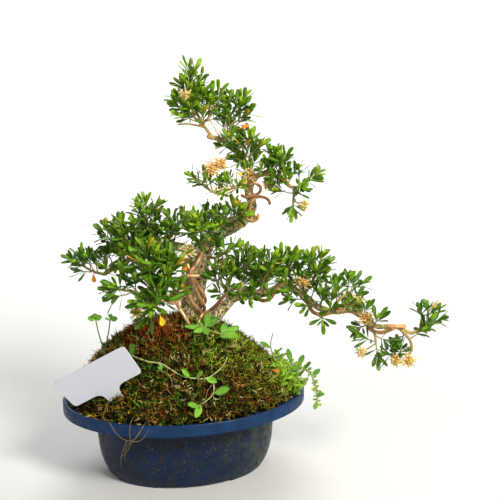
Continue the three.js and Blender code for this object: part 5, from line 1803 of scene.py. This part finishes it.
def make_label():
    up = unit(LABEL_ALONG * LABEL_DOWN.dot(LABEL_ALONG) - LABEL_DOWN)
    facing = np.cross(LABEL_ALONG, up)
    half = LABEL_THICKNESS / 2
    loops = []
    layers = ((LABEL_EDGE, -half), (0, LABEL_EDGE - half), (0, half - LABEL_EDGE), (LABEL_EDGE, half))
    for inset, depth in layers:
        corner = LABEL_CORNER + facing * depth
        loops.append([corner + LABEL_ALONG * x + up * y for x, y in label_outline(inset)])
    count = len(loops[0])
    caps = [tuple(range(count)), tuple(reversed(range(3 * count, 4 * count)))]
    parts = Parts()
    parts.add(np.vstack(loops), caps + flipped(band_faces(4, count)), (1, 1, 1))
    label = parts.build("plant_label_blank", SURFACES["label"])
    label.data.set_sharp_from_angle(angle=LABEL_SHARP_ANGLE)
    dress(label, "label", "plant_label")


# Camera, floor and light

CAMERA_PLACE = Vector((-60, -598.8, 289)) * MM
CAMERA_HEADING = math.radians(10.2)
CAMERA_PITCH = math.radians(12.5)
CAMERA_ROLL = math.radians(-0.69)
CAMERA_LENS = 64.8


def make_camera():
    data = bpy.data.cameras.new("view")
    data.lens = CAMERA_LENS
    data.sensor_width = 36
    data.clip_start = 0.01
    data.clip_end = 60
    camera = placed("view", data)
    turn = (Matrix.Rotation(-CAMERA_HEADING, 4, "Z") @ Matrix.Rotation(math.pi / 2 - CAMERA_PITCH, 4, "X")
            @ Matrix.Rotation(CAMERA_ROLL, 4, "Z"))
    camera.matrix_world = Matrix.Translation(CAMERA_PLACE) @ turn
    bpy.context.scene.camera = camera


FLOOR_FLAT = 1.7
FLOOR_SWEEP = 1.5
FLOOR_WALL_TOP = 4.5
FLOOR_SIDES = 96
FLOOR_SWEEP_STEPS = 16
FLOOR_COLOUR = (0.6, 0.6, 0.59, 1)


def make_floor():
    """A pale round floor that sweeps up into a wall, so that no edge shows behind the part."""
    surface = Surface("pale_floor", 0.85)
    surface.shader.inputs["Base Color"].default_value = FLOOR_COLOUR
    turns = np.linspace(0, math.pi / 2, FLOOR_SWEEP_STEPS + 1)
    profile = [(FLOOR_FLAT + FLOOR_SWEEP * math.sin(turn), FLOOR_SWEEP * (1 - math.cos(turn)))
               for turn in turns]
    profile.append((FLOOR_FLAT + FLOOR_SWEEP, FLOOR_WALL_TOP))
    points = [(0, 0, 0)]
    angles = ring_angles(FLOOR_SIDES)
    for radius, z in profile:
        points += [(radius * math.cos(angle), radius * math.sin(angle), z) for angle in angles]
    faces = flipped(band_faces(len(profile), FLOOR_SIDES, 1))
    faces += [(0, 1 + side, 1 + (side + 1) % FLOOR_SIDES) for side in range(FLOOR_SIDES)]
    mesh = bpy.data.meshes.new("floor")
    mesh.from_pydata(points, [], faces)
    mesh.shade_smooth()
    mesh.materials.append(surface.material)
    placed("floor", mesh)


def add_light(name, place, size, power, colour, target=(0.02, -0.01, 0.12)):
    data = bpy.data.lights.new(name, "AREA")
    data.size = size
    data.energy = power
    data.color = colour
    light = placed(name, data)
    light.location = place
    light.rotation_euler = (Vector(target) - light.location).to_track_quat("-Z", "Y").to_euler()


SKY_COLOUR = (0.88, 0.89, 0.90, 1)
SKY_STRENGTH = 0.25


def make_light():
    add_light("key", (0.5, -0.9, 0.88), 0.34, 21, (1.0, 0.96, 0.89))
    add_light("fill", (-0.9, -0.75, 0.7), 0.9, 2.9, (0.94, 0.97, 1.0))
    add_light("back", (0.2, 0.95, 0.9), 0.7, 6, (1.0, 1.0, 1.0))
    add_light("wall", (0.3, 1.2, 2.4), 1.6, 110, (1.0, 1.0, 1.0), (0.9, 3.2, 0.9))
    world = bpy.data.worlds.new("studio")
    world.use_nodes = True
    sky = world.node_tree.nodes["Background"]
    sky.inputs["Color"].default_value = SKY_COLOUR
    sky.inputs["Strength"].default_value = SKY_STRENGTH
    bpy.context.scene.world = world
    bpy.context.scene.view_settings.view_transform = "Standard"


make_camera()
make_floor()
make_light()
make_pot()
make_moss_mat()
for tufts_seed, tufts_name in enumerate(("moss_tufts_a", "moss_tufts_b")):
    make_moss_tufts(tufts_name, MOSS_STRANDS // 2, tufts_seed)
make_wood()
make_wires()
for spray_name, (spray_fullness, leaf_size, leaf_youth, *spray_twigs) in SPRAYS.items():
    make_spray(spray_name, spray_fullness, leaf_size, leaf_youth, spray_twigs)
for spur_name, (spur_limb, spur_stretches) in SPURS.items():
    make_spurs(spur_name, spur_limb, spur_stretches)
make_dry_twigs()
make_turned_leaves()
make_blooms()
make_weeds()
make_litter()
make_label()

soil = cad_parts["soil"]
soil.data.materials.clear()
soil.data.materials.append(SURFACES["soil"])
